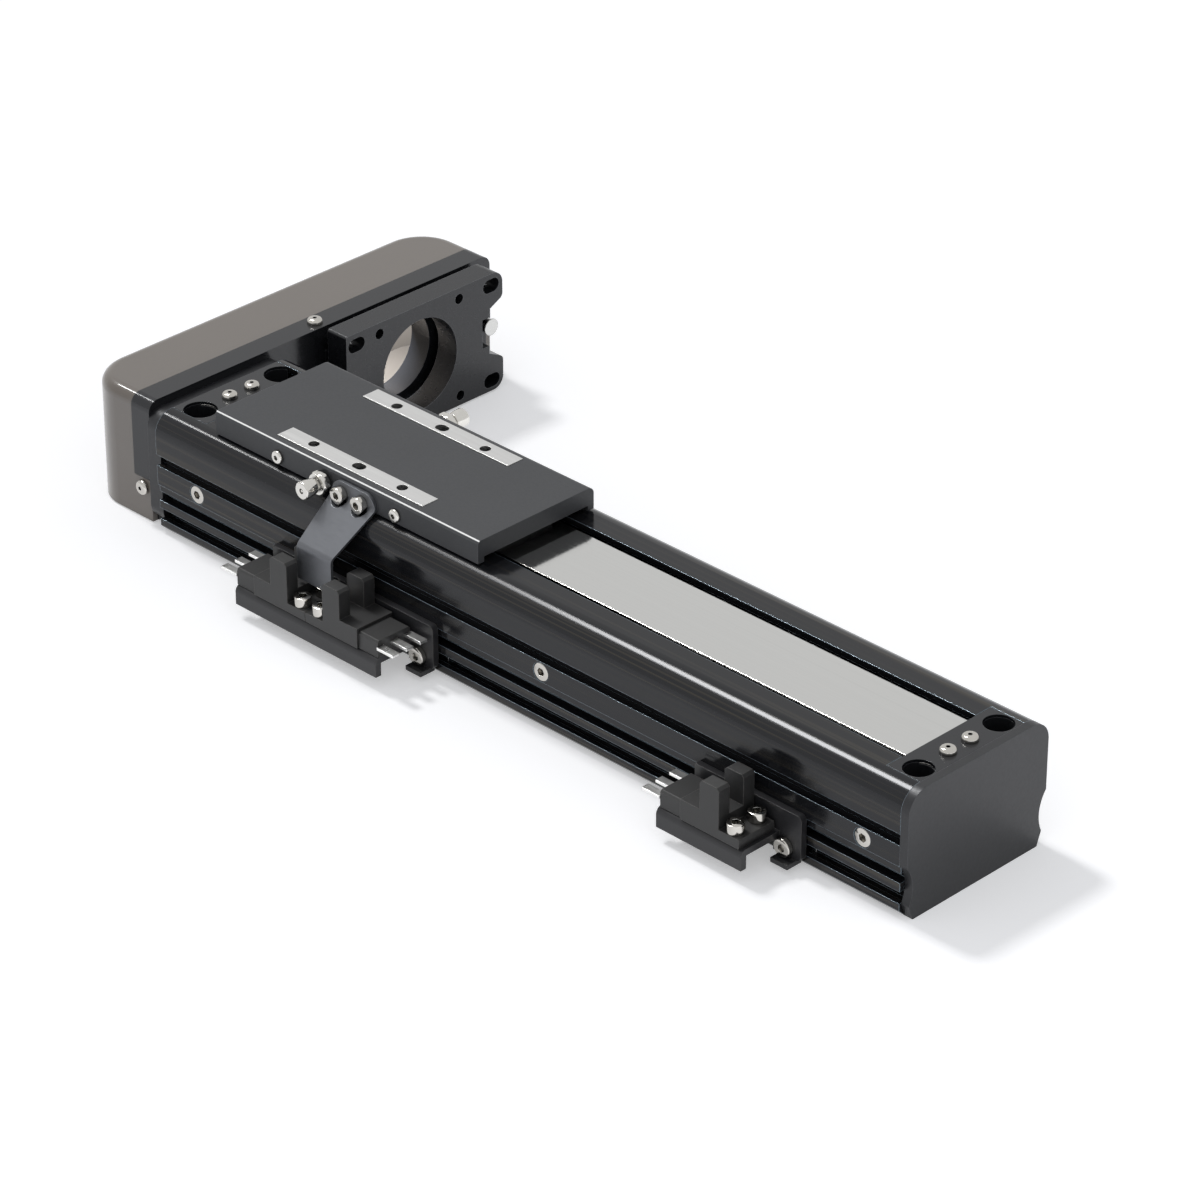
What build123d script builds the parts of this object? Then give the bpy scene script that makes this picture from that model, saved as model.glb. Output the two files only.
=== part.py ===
"""Ball screw linear actuator with a folded motor mount, a steel cover strip and
three slot sensors.

Millimetres. The origin is the centre of the base's bottom face, +X runs along
the travel towards the plain end plate, +Z is up and -Y is the sensor side.
"""
from build123d import *
from math import cos, pi, radians, sin
import os

os.makedirs("parts", exist_ok=True)

# Body, from the end plate's face to the belt housing
body_length = 294.5
body_width = 54.0
body_height = 38.4
top_round = 6.5
body_half = body_width / 2
x_front = body_length / 2
x_housing = -body_length / 2
near_and_far = (-1, 1)

# Base channel: each side steps in from the body's width, each slot from the one above
base_floor = 6.0
wall_top = 22.2
foot_chamfer = 2.3
side_step = 0.5
band_step = 0.1
ledge_step = 0.8
band_height = 6.3
ledge_height = 2.4
clip_slot_height = 2.8
clip_slot_depth = 3.3
slot_spacing = 4.4
t_slot_mouth = 3.6
t_slot_inner = 6.0
t_slot_lip = 1.8
t_slot_depth = 4.8
channel_wall = 11.4
side_half = body_half - side_step
band_half = body_half - band_step
ledge_half = body_half - ledge_step
foot_half = side_half - foot_chamfer
band_bottom = wall_top - band_height
clip_slot_top = band_bottom - ledge_height
clip_slot_bottom = clip_slot_top - clip_slot_height
t_slot_z = clip_slot_bottom - slot_spacing
channel_half = band_half - channel_wall

# Raceway bars let into the channel walls, and the line of their balls
race_width = 3.6
race_height = 9.2
race_proud = 0.5
nut_block_gap = 0.6
ball_groove_radius = 1.7
race_bottom = wall_top - race_height
race_half = channel_half - race_proud
race_outer = race_half + race_width
nut_block_half = race_half - nut_block_gap
ball_line_y = (race_half + nut_block_half) / 2
ball_line_z = (race_bottom + wall_top) / 2

# Cover strip and its clamps
strip_half = 12.0
strip_thickness = 0.5
strip_margin = 0.1
strip_end_inset = 1.2
holder_thickness = 0.9
deck_thickness = 3.0
clamp_screw_y = 4.25
strip_top = body_height - holder_thickness
strip_bottom = strip_top - strip_thickness
block_body_top = strip_bottom - deck_thickness

# Side covers, open at the top for the carriage's legs
cover_wall = 2.8
cover_flange = 2.0
cover_corner_inside = 3.5
cover_foot_height = 5.0
seam_depth = 2.7
seam_height = 3.5
leg_gap = 0.4
leg_wall = 1.4
leg_inner = strip_half + leg_gap
leg_outer = leg_inner + leg_wall
slit_edge = leg_outer + leg_gap
seam_half = body_half - seam_depth
wall_inner = body_half - cover_wall
flange_under = body_height - cover_flange
round_y = body_half - top_round
round_z = body_height - top_round

# End parts
end_plate_thickness = 2.7
rear_plate_thickness = 5.4
rear_plate_inset = 1.6
rear_plate_round = 5.0
front_deck_length = 11.2
rear_deck_length = 14.4
front_block_length = 16.8
rear_block_length = 21.0
block_inset = 7.0
block_gap = 0.15
scallop_bottom = 4.3
scallop_top = 16.5
scallop_depth = 2.4
nose_step = 1.2
block_half = body_half - block_inset
nose_half = body_half - nose_step
base_front = x_front - end_plate_thickness
base_rear = x_housing + rear_plate_thickness
base_length = base_front - base_rear
front_deck_x = base_front - front_deck_length
rear_deck_x = base_rear + rear_deck_length
front_block_x = base_front - front_block_length
rear_block_x = base_rear + rear_block_length

# Mounting screws, reached from above
front_hole_inset = 7.3
rear_hole_inset = 12.2
mount_hole_inset = 11.55
front_access_radius = 4.3
rear_access_radius = 5.0
mount_hole_radius = 2.75
front_hole_x = x_front - front_hole_inset
rear_hole_x = x_housing + rear_hole_inset
mount_hole_y = body_half - mount_hole_inset

# Ball screw line
screw_z = 20.2
screw_radius = 5.0
running_gap = 0.05
seat_gap = 0.1
front_journal_radius = 3.0
rear_journal_radius = 4.0
pulley_shaft_radius = 3.0
thread_relief = 1.0
front_bearing_radius = 7.5
front_bearing_width = 5.0
front_bearing_cover = 1.0
front_shoulder_radius = 5.5
rear_bearing_radius = 9.5
rear_bearing_width = 6.0
rear_shoulder_radius = 7.4
retainer_bore_radius = 8.2
lock_nut_radius = 7.0
lock_nut_width = 5.0
bumper_radius = 9.0
bumper_bore_radius = 7.2
front_bumper_length = 3.0
rear_bumper_length = 4.0

# Carriage, at rest near the rear end of its travel
carriage_length = 107.0
carriage_start_gap = 9.65
carriage_inset = 4.8
skirt_gap = 0.4
skirt_wall = 2.3
arch_height = 1.6
table_thickness = 5.4
carriage_edge = 0.8
carriage_round = 2.2
shoulder_gap = 0.3
nut_block_length = 80.0
nut_block_bottom = 7.0
nut_block_drop = 2.6
return_cap_length = 4.0
return_cap_inset = 0.2
return_cap_corner = 1.0
return_cap_bore = 11.9
nut_radius = 8.5
nut_length = 34.0
nut_flange_radius = 11.0
nut_flange_width = 3.0
nut_screw_circle = 9.75
strip_guide_length = 8.0
strip_guide_inset = 5.0
strip_guide_gap = 0.2
pad_length = 59.0
pad_width = 6.0
pad_shift = 0.4
pad_offset = -0.9
pad_depth = 1.2
pad_proud = 0.25
pad_fit = 0.15
pad_hole_pitch = 18.0
pad_hole_radius = 1.65
pad_dowel_step = 1.1
table_screw_pitch = 48.0
carriage_half = body_half - carriage_inset
shoulder_half = carriage_half - skirt_wall - shoulder_gap
skirt_bottom = body_height + skirt_gap
carriage_underside = skirt_bottom + arch_height
carriage_top = carriage_underside + table_thickness
carriage_rest = rear_block_x + rear_bumper_length + carriage_start_gap + nut_block_length / 2
nut_block_top = strip_bottom - nut_block_drop
pad_y = (leg_outer + shoulder_half) / 2 - pad_shift
pad_hole_y = pad_y - pad_shift

# Grease nipples and side plugs, along X from the carriage's middle
port_rise = 0.8
nipple_x = -7.6
nipple_hex_flats = 6.4
nipple_collar = 1.0
nipple_hex_length = 2.4
nipple_neck_length = 1.6
nipple_cone_length = 2.4
nipple_reach = 9.0
nipple_end_radius = 2.6
plug_rear_x = -27.0
plug_front_x = 20.9
plug_radius = 1.8
plug_head_radius = 2.1
plug_head_height = 0.9
port_z = carriage_underside + port_rise

# Motor plate, which slides along Y to tension the belt
motor_y = 71.9
motor_plate_low_reach = 29.6
motor_plate_high_reach = 34.3
motor_plate_thickness = 8.0
motor_plate_gap = 3.0
motor_plate_edge = 1.0
motor_plate_corner = 4.0
motor_pilot_radius = 15.0
motor_opening_radius = 14.0
motor_screw_square = 32.5
motor_screw_radius = 1.65
motor_margin_top = 3.65
motor_margin_bottom = 3.25
belt_slot_shift = 2.0
belt_slot_pitch_y = 55.0
belt_slot_pitch_z = 32.0
belt_slot_width = 4.5
belt_slot_length = 6.6
rest_pad_width = 8.0
rest_pad_height = 5.0
rest_pad_inset = 1.5
rest_pad_pitch_z = 17.5
notch_rise = 0.8
notch_depth = 5.7
notch_height = 14.8
notch_flare = 2.8
notch_ear_round = 2.0
recess_depth = 2.85
recess_height = 9.6
post_inset = 5.1
post_rise = 1.45
post_radius = 2.3
post_proud = 0.5
motor_plate_low_y = motor_y - motor_plate_low_reach
motor_plate_high_y = motor_y + motor_plate_high_reach
motor_plate_top = screw_z + motor_screw_square / 2 + motor_margin_top
motor_plate_bottom = screw_z - motor_screw_square / 2 - motor_margin_bottom
belt_slot_y = motor_y + belt_slot_shift
notch_floor_y = motor_plate_high_y - notch_depth
notch_z = screw_z + notch_rise
post_y = motor_plate_high_y - post_inset
post_z = notch_z + post_rise

# Belt housing
housing_low_inset = 2.4
housing_reach = 39.6
housing_margin_top = 3.2
housing_margin_bottom = 3.8
housing_corner = 3.5
housing_plate_thickness = 7.7
belt_cover_depth = 21.8
belt_cover_wall = 1.8
belt_cover_round = 14.0
tab_height = 13.2
tab_margin = 0.1
tab_short = 0.3
cover_screw_rise = 10.2
cover_screw_shift = 1.2
housing_screw_y = 7.5
housing_screw_dz = 11.0
housing_low_y = housing_low_inset - body_half
housing_high_y = motor_y + housing_reach
housing_top = screw_z + belt_slot_pitch_z / 2 + housing_margin_top
housing_bottom = screw_z - belt_slot_pitch_z / 2 - housing_margin_bottom
cover_screw_z = housing_bottom + cover_screw_rise
cover_top_screw_y = motor_plate_low_y + cover_screw_shift

# Driven pulley
pulley_teeth = 24
belt_pitch = 3.0
tooth_depth = 1.2
tooth_gap = 1.7
pulley_width = 9.0
pulley_flange = 1.0
pulley_flange_reach = 1.4
pulley_hub_length = 4.0
pulley_hub_radius = 6.5
pulley_clear = 1.5
shaft_end_proud = 1.0

# Fasteners
m3_radius = 1.5
m3_head_radius = 2.75
m3_head_height = 3.0
m25_radius = 1.25
m25_head_radius = 2.3
nut_screw_head_radius = 1.9
nut_screw_head_height = 1.2
flag_head_radius = 2.5
flag_head_height = 2.4
sensor_head_radius = 2.5
socket_depth = 1.6
button_radius = 2.35
button_height = 1.6
wall_screw_drop = 0.15
wall_screw_front_inset = 12.85
wall_screw_rear_inset = 17.05
wall_screw_middle_x = 15.0
wall_screw_grip = 4.0
housing_screw_grip = 9.0
cover_screw_grip = 5.0
wall_screw_z = (band_bottom + wall_top) / 2 - wall_screw_drop
wall_screw_front_x = base_front - wall_screw_front_inset
wall_screw_rear_x = base_rear + wall_screw_rear_inset

# Slot sensors
sensor_width = 13.4
sensor_reach = 9.5
sensor_slot = 5.2
sensor_floor_z = 10.0
sensor_tab_length = 7.2
sensor_prong_length = 6.8
sensor_tail_length = 7.0
sensor_tab_height = 2.8
sensor_base_height = 6.1
sensor_height = 15.1
sensor_chamfer = 0.8
socket_length = 7.7
socket_height = 5.2
socket_inset = 0.6
terminal_length = 6.4
terminal_width = 2.6
terminal_thickness = 0.8
terminal_pitch = 5.2
terminal_z = 13.0
sensor_screw_pitch = 8.0
sensor_pair_ahead = 5.8
sensor_pair_gap = 0.2
front_sensor_inset = 43.45
sensor_y = -(band_half + sensor_reach)
sensor_length = sensor_tab_length + sensor_prong_length + sensor_tail_length
station_length = sensor_length + socket_length
sensor_top = sensor_floor_z + sensor_height
sensor_step = sensor_floor_z + sensor_base_height
sensor_pair_x = carriage_rest + sensor_pair_ahead
front_sensor_x = x_front - front_sensor_inset

# Sensor brackets
bracket_sheet = 2.0
bracket_bend = 1.1
bracket_top = 17.1
bracket_bottom = 3.4
bracket_lip_bottom = 4.0
bracket_lip_gap = 0.3
bracket_margin = 0.6
bracket_arm = 7.6
bracket_screw_inset = 5.4
bracket_corner = 1.5
bracket_screw_head = 1.8
bracket_foot_width = 6.0
bracket_foot_reach = 5.4
bracket_foot_sheet = 1.4
t_nut_length = 14.0
t_nut_gap = 0.2
t_nut_thickness = 2.6

# Sensor flag, along X from the carriage's middle
flag_sheet = 1.0
flag_rear_x = -3.8
flag_tab_width = 17.3
flag_blade_width = 13.8
flag_drop = 1.6
flag_corner = 4.0
flag_bend_rise = 0.9
flag_bend = 2.0
flag_slope_drop = 11.6
flag_blade_clear = 1.5
flag_screw_x = 4.3
flag_screw_pitch = 8.1
flag_screw_rise = 0.1
flag_spot_radius = 3.2
flag_top = carriage_top - flag_drop
flag_bend_z = skirt_bottom + flag_bend_rise
flag_screw_z = carriage_underside + flag_screw_rise
flag_blade_top = flag_bend_z - flag_slope_drop
flag_blade_bottom = sensor_step + flag_blade_clear


def x_plane(x):
    """A sketch plane across the travel: local x is Y and local y is Z."""
    return Plane.YZ.offset(x)


def side_plane(side, x, out, z):
    """A sketch plane facing outwards, near side -1 or far side 1: local y is Z."""
    return Plane(origin=(x, side * out, z), x_dir=(-side, 0, 0), z_dir=(0, side, 0))


def upright_plane(x, y, z):
    """A sketch plane facing up."""
    return Plane(origin=(x, y, z))


def facing_rear(x, y, z):
    """A sketch plane facing the rear: local x is -Y and local y is Z."""
    return Plane(origin=(x, y, z), x_dir=(0, -1, 0), z_dir=(-1, 0, 0))


def facing_front(x, y, z):
    """A sketch plane facing the front: local x is Y and local y is Z."""
    return Plane(origin=(x, y, z), x_dir=(0, 1, 0), z_dir=(1, 0, 0))


def cap_screw(radius, length, head_radius, head_height):
    """A socket cap screw, its seat at the origin and its shank below."""
    with BuildPart() as screw:
        Cylinder(head_radius, head_height, align=(Align.CENTER, Align.CENTER, Align.MIN))
        Cylinder(radius, length, align=(Align.CENTER, Align.CENTER, Align.MAX))
        with BuildSketch(Plane.XY.offset(head_height)):
            RegularPolygon(radius=head_radius / 2, side_count=6)
        extrude(amount=-min(socket_depth, head_height / 2), mode=Mode.SUBTRACT)
    return screw.part


def button_screw(radius, length, head_radius, head_height):
    """A low-headed screw, its seat at the origin and its shank below."""
    with BuildPart() as screw:
        Cylinder(head_radius, head_height, align=(Align.CENTER, Align.CENTER, Align.MIN))
        chamfer(screw.edges().group_by(Axis.Z)[-1], length=head_height * 0.6)
        Cylinder(radius, length, align=(Align.CENTER, Align.CENTER, Align.MAX))
        with BuildSketch(Plane.XY.offset(head_height)):
            RegularPolygon(radius=head_radius / 3, side_count=6)
        extrude(amount=-head_height / 2, mode=Mode.SUBTRACT)
    return screw.part


def ring(outer, inner, width):
    """A plain ring about Z, standing on the origin."""
    with BuildPart() as plain_ring:
        Cylinder(outer, width, align=(Align.CENTER, Align.CENTER, Align.MIN))
        Hole(radius=inner, depth=width * 2)
    return plain_ring.part


def sunk_screw(radius, length, head_radius):
    """A countersunk screw, its flush top at the origin."""
    with BuildPart() as screw:
        with BuildSketch(Plane.XZ):
            with BuildLine():
                Polyline(
                    (0, 0),
                    (head_radius, 0),
                    (radius, radius - head_radius),
                    (radius, -length),
                    (0, -length),
                    close=True,
                )
            make_face()
        revolve(axis=Axis.Z)
        with BuildSketch(Plane.XY):
            RegularPolygon(radius=radius * 0.8, side_count=6)
        extrude(amount=-(head_radius - radius), mode=Mode.SUBTRACT)
    return screw.part


# Base: an extruded channel with a T-slot and a clip slot down each side
with BuildPart() as base_extrusion:
    with BuildSketch(x_plane(base_rear)):
        with BuildLine() as half_outline:
            Polyline(
                (0, 0),
                (foot_half, 0),
                (side_half, foot_chamfer),
                (side_half, t_slot_z - t_slot_mouth / 2),
                (side_half - t_slot_lip, t_slot_z - t_slot_mouth / 2),
                (side_half - t_slot_lip, t_slot_z - t_slot_inner / 2),
                (side_half - t_slot_depth, t_slot_z - t_slot_inner / 2),
                (side_half - t_slot_depth, t_slot_z + t_slot_inner / 2),
                (side_half - t_slot_lip, t_slot_z + t_slot_inner / 2),
                (side_half - t_slot_lip, t_slot_z + t_slot_mouth / 2),
                (side_half, t_slot_z + t_slot_mouth / 2),
                (side_half, clip_slot_bottom),
                (side_half - clip_slot_depth, clip_slot_bottom),
                (side_half - clip_slot_depth, clip_slot_top),
                (ledge_half, clip_slot_top),
                (ledge_half, band_bottom),
                (band_half, band_bottom),
                (band_half, wall_top),
                (race_outer, wall_top),
                (race_outer, race_bottom),
                (channel_half, race_bottom),
                (channel_half, base_floor),
                (0, base_floor),
            )
            mirror(half_outline.line, about=Plane.YZ)
        make_face()
    extrude(amount=base_length)
    for hole_x, access in (
        (front_hole_x, front_access_radius),
        (rear_hole_x, rear_access_radius),
    ):
        for side in near_and_far:
            with Locations((hole_x, side * mount_hole_y, base_floor)):
                Cylinder(
                    access,
                    wall_top,
                    align=(Align.CENTER, Align.CENTER, Align.MIN),
                    mode=Mode.SUBTRACT,
                )
                Hole(radius=mount_hole_radius, depth=base_floor * 2)
    for side in near_and_far:
        for screw_x in (wall_screw_front_x, wall_screw_middle_x, wall_screw_rear_x):
            with Locations(side_plane(side, screw_x, band_half, wall_screw_z)):
                CounterBoreHole(
                    radius=m3_radius + seat_gap,
                    counter_bore_radius=m3_head_radius + seat_gap,
                    counter_bore_depth=m3_head_height,
                    depth=band_half - channel_half,
                )
base_extrusion.part.label = "base_extrusion"
export_step(base_extrusion.part, "parts/base_extrusion.step")

# Hardened raceway bars, grooved for the balls
for side, name in ((-1, "raceway_near"), (1, "raceway_far")):
    with BuildPart() as raceway:
        with BuildSketch(x_plane(rear_block_x)):
            with Locations((side * (race_half + race_outer) / 2, (race_bottom + wall_top) / 2)):
                Rectangle(race_width, wall_top - race_bottom)
            with Locations((side * ball_line_y, ball_line_z)):
                Circle(ball_groove_radius, mode=Mode.SUBTRACT)
        extrude(amount=front_block_x - rear_block_x)
        with Locations(side_plane(side, wall_screw_middle_x, race_outer, wall_screw_z)):
            Hole(radius=m3_radius + seat_gap, depth=race_width / 2)
    raceway.part.label = name
    export_step(raceway.part, f"parts/{name}.step")

# Side covers: a hollow wall that steps in over the seam and turns in at the top
for side, name in ((-1, "side_cover_near"), (1, "side_cover_far")):
    with BuildPart() as side_cover:
        with BuildSketch(x_plane(base_rear)):
            with BuildLine():
                Polyline(
                    (seam_half - cover_wall, wall_top),
                    (seam_half, wall_top),
                    (seam_half, wall_top + seam_height),
                    (body_half, wall_top + seam_height),
                    (body_half, round_z),
                )
                RadiusArc((body_half, round_z), (round_y, body_height), -top_round)
                Polyline(
                    (round_y, body_height),
                    (slit_edge, body_height),
                    (slit_edge, flange_under),
                    (wall_inner - cover_corner_inside, flange_under),
                )
                RadiusArc(
                    (wall_inner - cover_corner_inside, flange_under),
                    (wall_inner, flange_under - cover_corner_inside),
                    cover_corner_inside,
                )
                Polyline(
                    (wall_inner, flange_under - cover_corner_inside),
                    (wall_inner, wall_top + cover_foot_height),
                    (seam_half - cover_wall, wall_top + cover_foot_height),
                    (seam_half - cover_wall, wall_top),
                )
            make_face()
            if side < 0:
                mirror(about=Plane.YZ, mode=Mode.REPLACE)
        extrude(amount=base_length)
        for deck_start, deck_end in ((base_rear, rear_deck_x), (front_deck_x, base_front)):
            with BuildSketch(upright_plane((deck_start + deck_end) / 2, 0, body_height)):
                Rectangle(deck_end - deck_start + 2 * block_gap, 2 * (block_half + block_gap))
            extrude(amount=wall_top - body_height, mode=Mode.SUBTRACT)
    side_cover.part.label = name
    export_step(side_cover.part, f"parts/{name}.step")

# End blocks: they carry the screw's bearings and clamp the cover strip's ends
def end_block(inner_x, deck_x, outer_x, hole_x, access, bearing, depth, shoulder, screw_x):
    """A block from inner_x to outer_x, with its deck under the strip holder."""
    outwards = 1 if outer_x > inner_x else -1
    with BuildPart() as block:
        with BuildSketch(x_plane(inner_x)):
            with Locations((0, (base_floor + block_body_top) / 2)):
                Rectangle(2 * (channel_half - block_gap), block_body_top - base_floor)
        extrude(amount=outer_x - inner_x)
        with BuildSketch(x_plane(deck_x)):
            with Locations((0, (wall_top + strip_top) / 2)):
                Rectangle(2 * block_half, strip_top - wall_top)
            with Locations((0, strip_top)):
                Rectangle(
                    2 * (strip_half + strip_margin), 2 * strip_thickness, mode=Mode.SUBTRACT
                )
        extrude(amount=outer_x - deck_x)
        with BuildSketch(x_plane(outer_x)):
            with Locations((0, screw_z)):
                Circle(bearing + seat_gap)
        extrude(amount=-outwards * depth, mode=Mode.SUBTRACT)
        with BuildSketch(x_plane(outer_x)):
            with Locations((0, screw_z)):
                Circle(shoulder)
        extrude(amount=inner_x - outer_x, mode=Mode.SUBTRACT)
        with Locations((hole_x, 0, strip_top)):
            with GridLocations(1, 2 * mount_hole_y, 1, 2):
                Hole(radius=access, depth=strip_top)
        with Locations((hole_x, 0, strip_bottom)):
            with GridLocations(1, 2 * clamp_screw_y, 1, 2):
                Hole(radius=m25_radius + seat_gap, depth=strip_bottom - block_body_top + 1.0)
        with Locations(
            side_plane(-1, screw_x, channel_half - block_gap, wall_screw_z),
            side_plane(1, screw_x, channel_half - block_gap, wall_screw_z),
        ):
            Hole(radius=m3_radius + seat_gap, depth=wall_screw_grip + seat_gap)
    return block.part


with BuildPart() as front_block:
    add(
        end_block(
            inner_x=front_block_x,
            deck_x=front_deck_x,
            outer_x=base_front,
            hole_x=front_hole_x,
            access=front_access_radius,
            bearing=front_bearing_radius,
            depth=front_bearing_width + front_bearing_cover,
            shoulder=front_shoulder_radius,
            screw_x=wall_screw_front_x,
        )
    )
front_block.part.label = "front_block"
export_step(front_block.part, "parts/front_block.step")

with BuildPart() as rear_block:
    add(
        end_block(
            inner_x=rear_block_x,
            deck_x=rear_deck_x,
            outer_x=base_rear,
            hole_x=rear_hole_x,
            access=rear_access_radius,
            bearing=rear_bearing_radius,
            depth=2 * rear_bearing_width,
            shoulder=rear_shoulder_radius,
            screw_x=wall_screw_rear_x,
        )
    )
    with Locations(facing_rear(base_rear, 0, screw_z)):
        with GridLocations(2 * housing_screw_y, 2 * housing_screw_dz, 2, 2):
            Hole(radius=m3_radius + seat_gap, depth=housing_screw_grip + seat_gap)
rear_block.part.label = "rear_block"
export_step(rear_block.part, "parts/rear_block.step")

# Strip holders: thin plates on the end blocks, held down by two domed screws each
for name, deck_x, outer_x, hole_x, access in (
    ("front_strip_holder", front_deck_x, base_front, front_hole_x, front_access_radius),
    ("rear_strip_holder", rear_deck_x, base_rear, rear_hole_x, rear_access_radius),
):
    with BuildPart() as strip_holder:
        with BuildSketch(upright_plane((deck_x + outer_x) / 2, 0, strip_top)):
            Rectangle(abs(outer_x - deck_x), 2 * block_half)
            with Locations(
                (hole_x - (deck_x + outer_x) / 2, -mount_hole_y),
                (hole_x - (deck_x + outer_x) / 2, mount_hole_y),
            ):
                Circle(access, mode=Mode.SUBTRACT)
            with Locations(
                (hole_x - (deck_x + outer_x) / 2, -clamp_screw_y),
                (hole_x - (deck_x + outer_x) / 2, clamp_screw_y),
            ):
                Circle(m25_radius + seat_gap, mode=Mode.SUBTRACT)
        extrude(amount=body_height - strip_top)
    strip_holder.part.label = name
    export_step(strip_holder.part, f"parts/{name}.step")

# Steel cover strip, stretched between the end blocks
with BuildPart() as cover_strip:
    strip_length = base_length - 2 * strip_end_inset
    with BuildSketch(upright_plane(base_rear + base_length / 2, 0, strip_bottom)):
        Rectangle(strip_length, 2 * strip_half)
        for hole_x in (front_hole_x, rear_hole_x):
            with Locations(
                (hole_x - base_rear - base_length / 2, -clamp_screw_y),
                (hole_x - base_rear - base_length / 2, clamp_screw_y),
            ):
                Circle(m25_radius + seat_gap, mode=Mode.SUBTRACT)
        for hole_x, access in (
            (front_hole_x, front_access_radius),
            (rear_hole_x, rear_access_radius),
        ):
            with Locations(
                (hole_x - base_rear - base_length / 2, -mount_hole_y),
                (hole_x - base_rear - base_length / 2, mount_hole_y),
            ):
                Circle(access + seat_gap, mode=Mode.SUBTRACT)
    extrude(amount=strip_thickness)
cover_strip.part.label = "cover_strip"
export_step(cover_strip.part, "parts/cover_strip.step")

clamp_screw = button_screw(
    m25_radius, body_height - block_body_top, button_radius, button_height
)
with BuildPart() as strip_screws:
    for hole_x in (front_hole_x, rear_hole_x):
        with Locations(
            (hole_x, -clamp_screw_y, body_height),
            (hole_x, clamp_screw_y, body_height),
        ):
            add(clamp_screw)
strip_screws.part.label = "strip_screws"
export_step(strip_screws.part, "parts/strip_screws.step")

# Front end plate: waisted below, so that it clears the clip and T-slots
with BuildPart() as front_end_plate:
    with BuildSketch(x_plane(base_front)):
        with BuildLine() as half_plate:
            Line((0, 0), (foot_half, 0))
            Line((foot_half, 0), (nose_half, scallop_bottom))
            ThreePointArc(
                (nose_half, scallop_bottom),
                (body_half - scallop_depth, (scallop_bottom + scallop_top) / 2),
                (body_half, scallop_top),
            )
            Line((body_half, scallop_top), (body_half, round_z))
            RadiusArc((body_half, round_z), (round_y, body_height), -top_round)
            Line((round_y, body_height), (0, body_height))
            mirror(half_plate.line, about=Plane.YZ)
        make_face()
    extrude(amount=end_plate_thickness)
front_end_plate.part.label = "front_end_plate"
export_step(front_end_plate.part, "parts/front_end_plate.step")

# Rear end plate: set in from the body, it holds the bearings' outer rings
with BuildPart() as rear_end_plate:
    with BuildSketch(x_plane(x_housing)):
        with Locations((0, body_height / 2)):
            RectangleRounded(
                body_width - 2 * rear_plate_inset,
                body_height - 2 * rear_plate_inset,
                rear_plate_round,
            )
        with Locations((0, screw_z)):
            Circle(retainer_bore_radius, mode=Mode.SUBTRACT)
            with GridLocations(2 * housing_screw_y, 2 * housing_screw_dz, 2, 2):
                Circle(m3_radius + seat_gap, mode=Mode.SUBTRACT)
    extrude(amount=rear_plate_thickness)
rear_end_plate.part.label = "rear_end_plate"
export_step(rear_end_plate.part, "parts/rear_end_plate.step")

# Ball bearings, each as one sealed ring
with BuildPart() as front_bearing:
    with Locations(facing_front(base_front - front_bearing_cover - front_bearing_width, 0, screw_z)):
        add(ring(front_bearing_radius, front_journal_radius + running_gap, front_bearing_width))
front_bearing.part.label = "front_bearing"
export_step(front_bearing.part, "parts/front_bearing.step")

rear_bearing = ring(
    rear_bearing_radius, rear_journal_radius + running_gap, rear_bearing_width - seat_gap
)
with BuildPart() as rear_bearings:
    with Locations(
        facing_front(base_rear, 0, screw_z),
        facing_front(base_rear + rear_bearing_width, 0, screw_z),
    ):
        add(rear_bearing)
rear_bearings.part.label = "rear_bearings"
export_step(rear_bearings.part, "parts/rear_bearings.step")

# Rubber stops on the end blocks
with BuildPart() as front_bumper:
    with Locations(facing_rear(front_block_x, 0, screw_z)):
        add(ring(bumper_radius, bumper_bore_radius, front_bumper_length))
front_bumper.part.label = "front_bumper"
export_step(front_bumper.part, "parts/front_bumper.step")

with BuildPart() as rear_bumper:
    with Locations(facing_front(rear_block_x, 0, screw_z)):
        add(ring(bumper_radius, rear_shoulder_radius, rear_bumper_length))
rear_bumper.part.label = "rear_bumper"
export_step(rear_bumper.part, "parts/rear_bumper.step")

# Wall screws: the end ones enter the end blocks, the middle ones the raceways
seat_y = band_half - m3_head_height
end_wall_screw = cap_screw(
    m3_radius, seat_y - channel_half + wall_screw_grip, m3_head_radius, m3_head_height
)
middle_wall_screw = cap_screw(
    m3_radius, seat_y - race_outer + race_width / 2 - seat_gap, m3_head_radius, m3_head_height
)
with BuildPart() as wall_screws:
    for side in near_and_far:
        with Locations(
            side_plane(side, wall_screw_front_x, seat_y, wall_screw_z),
            side_plane(side, wall_screw_rear_x, seat_y, wall_screw_z),
        ):
            add(end_wall_screw)
        with Locations(side_plane(side, wall_screw_middle_x, seat_y, wall_screw_z)):
            add(middle_wall_screw)
wall_screws.part.label = "wall_screws"
export_step(wall_screws.part, "parts/wall_screws.step")

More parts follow.
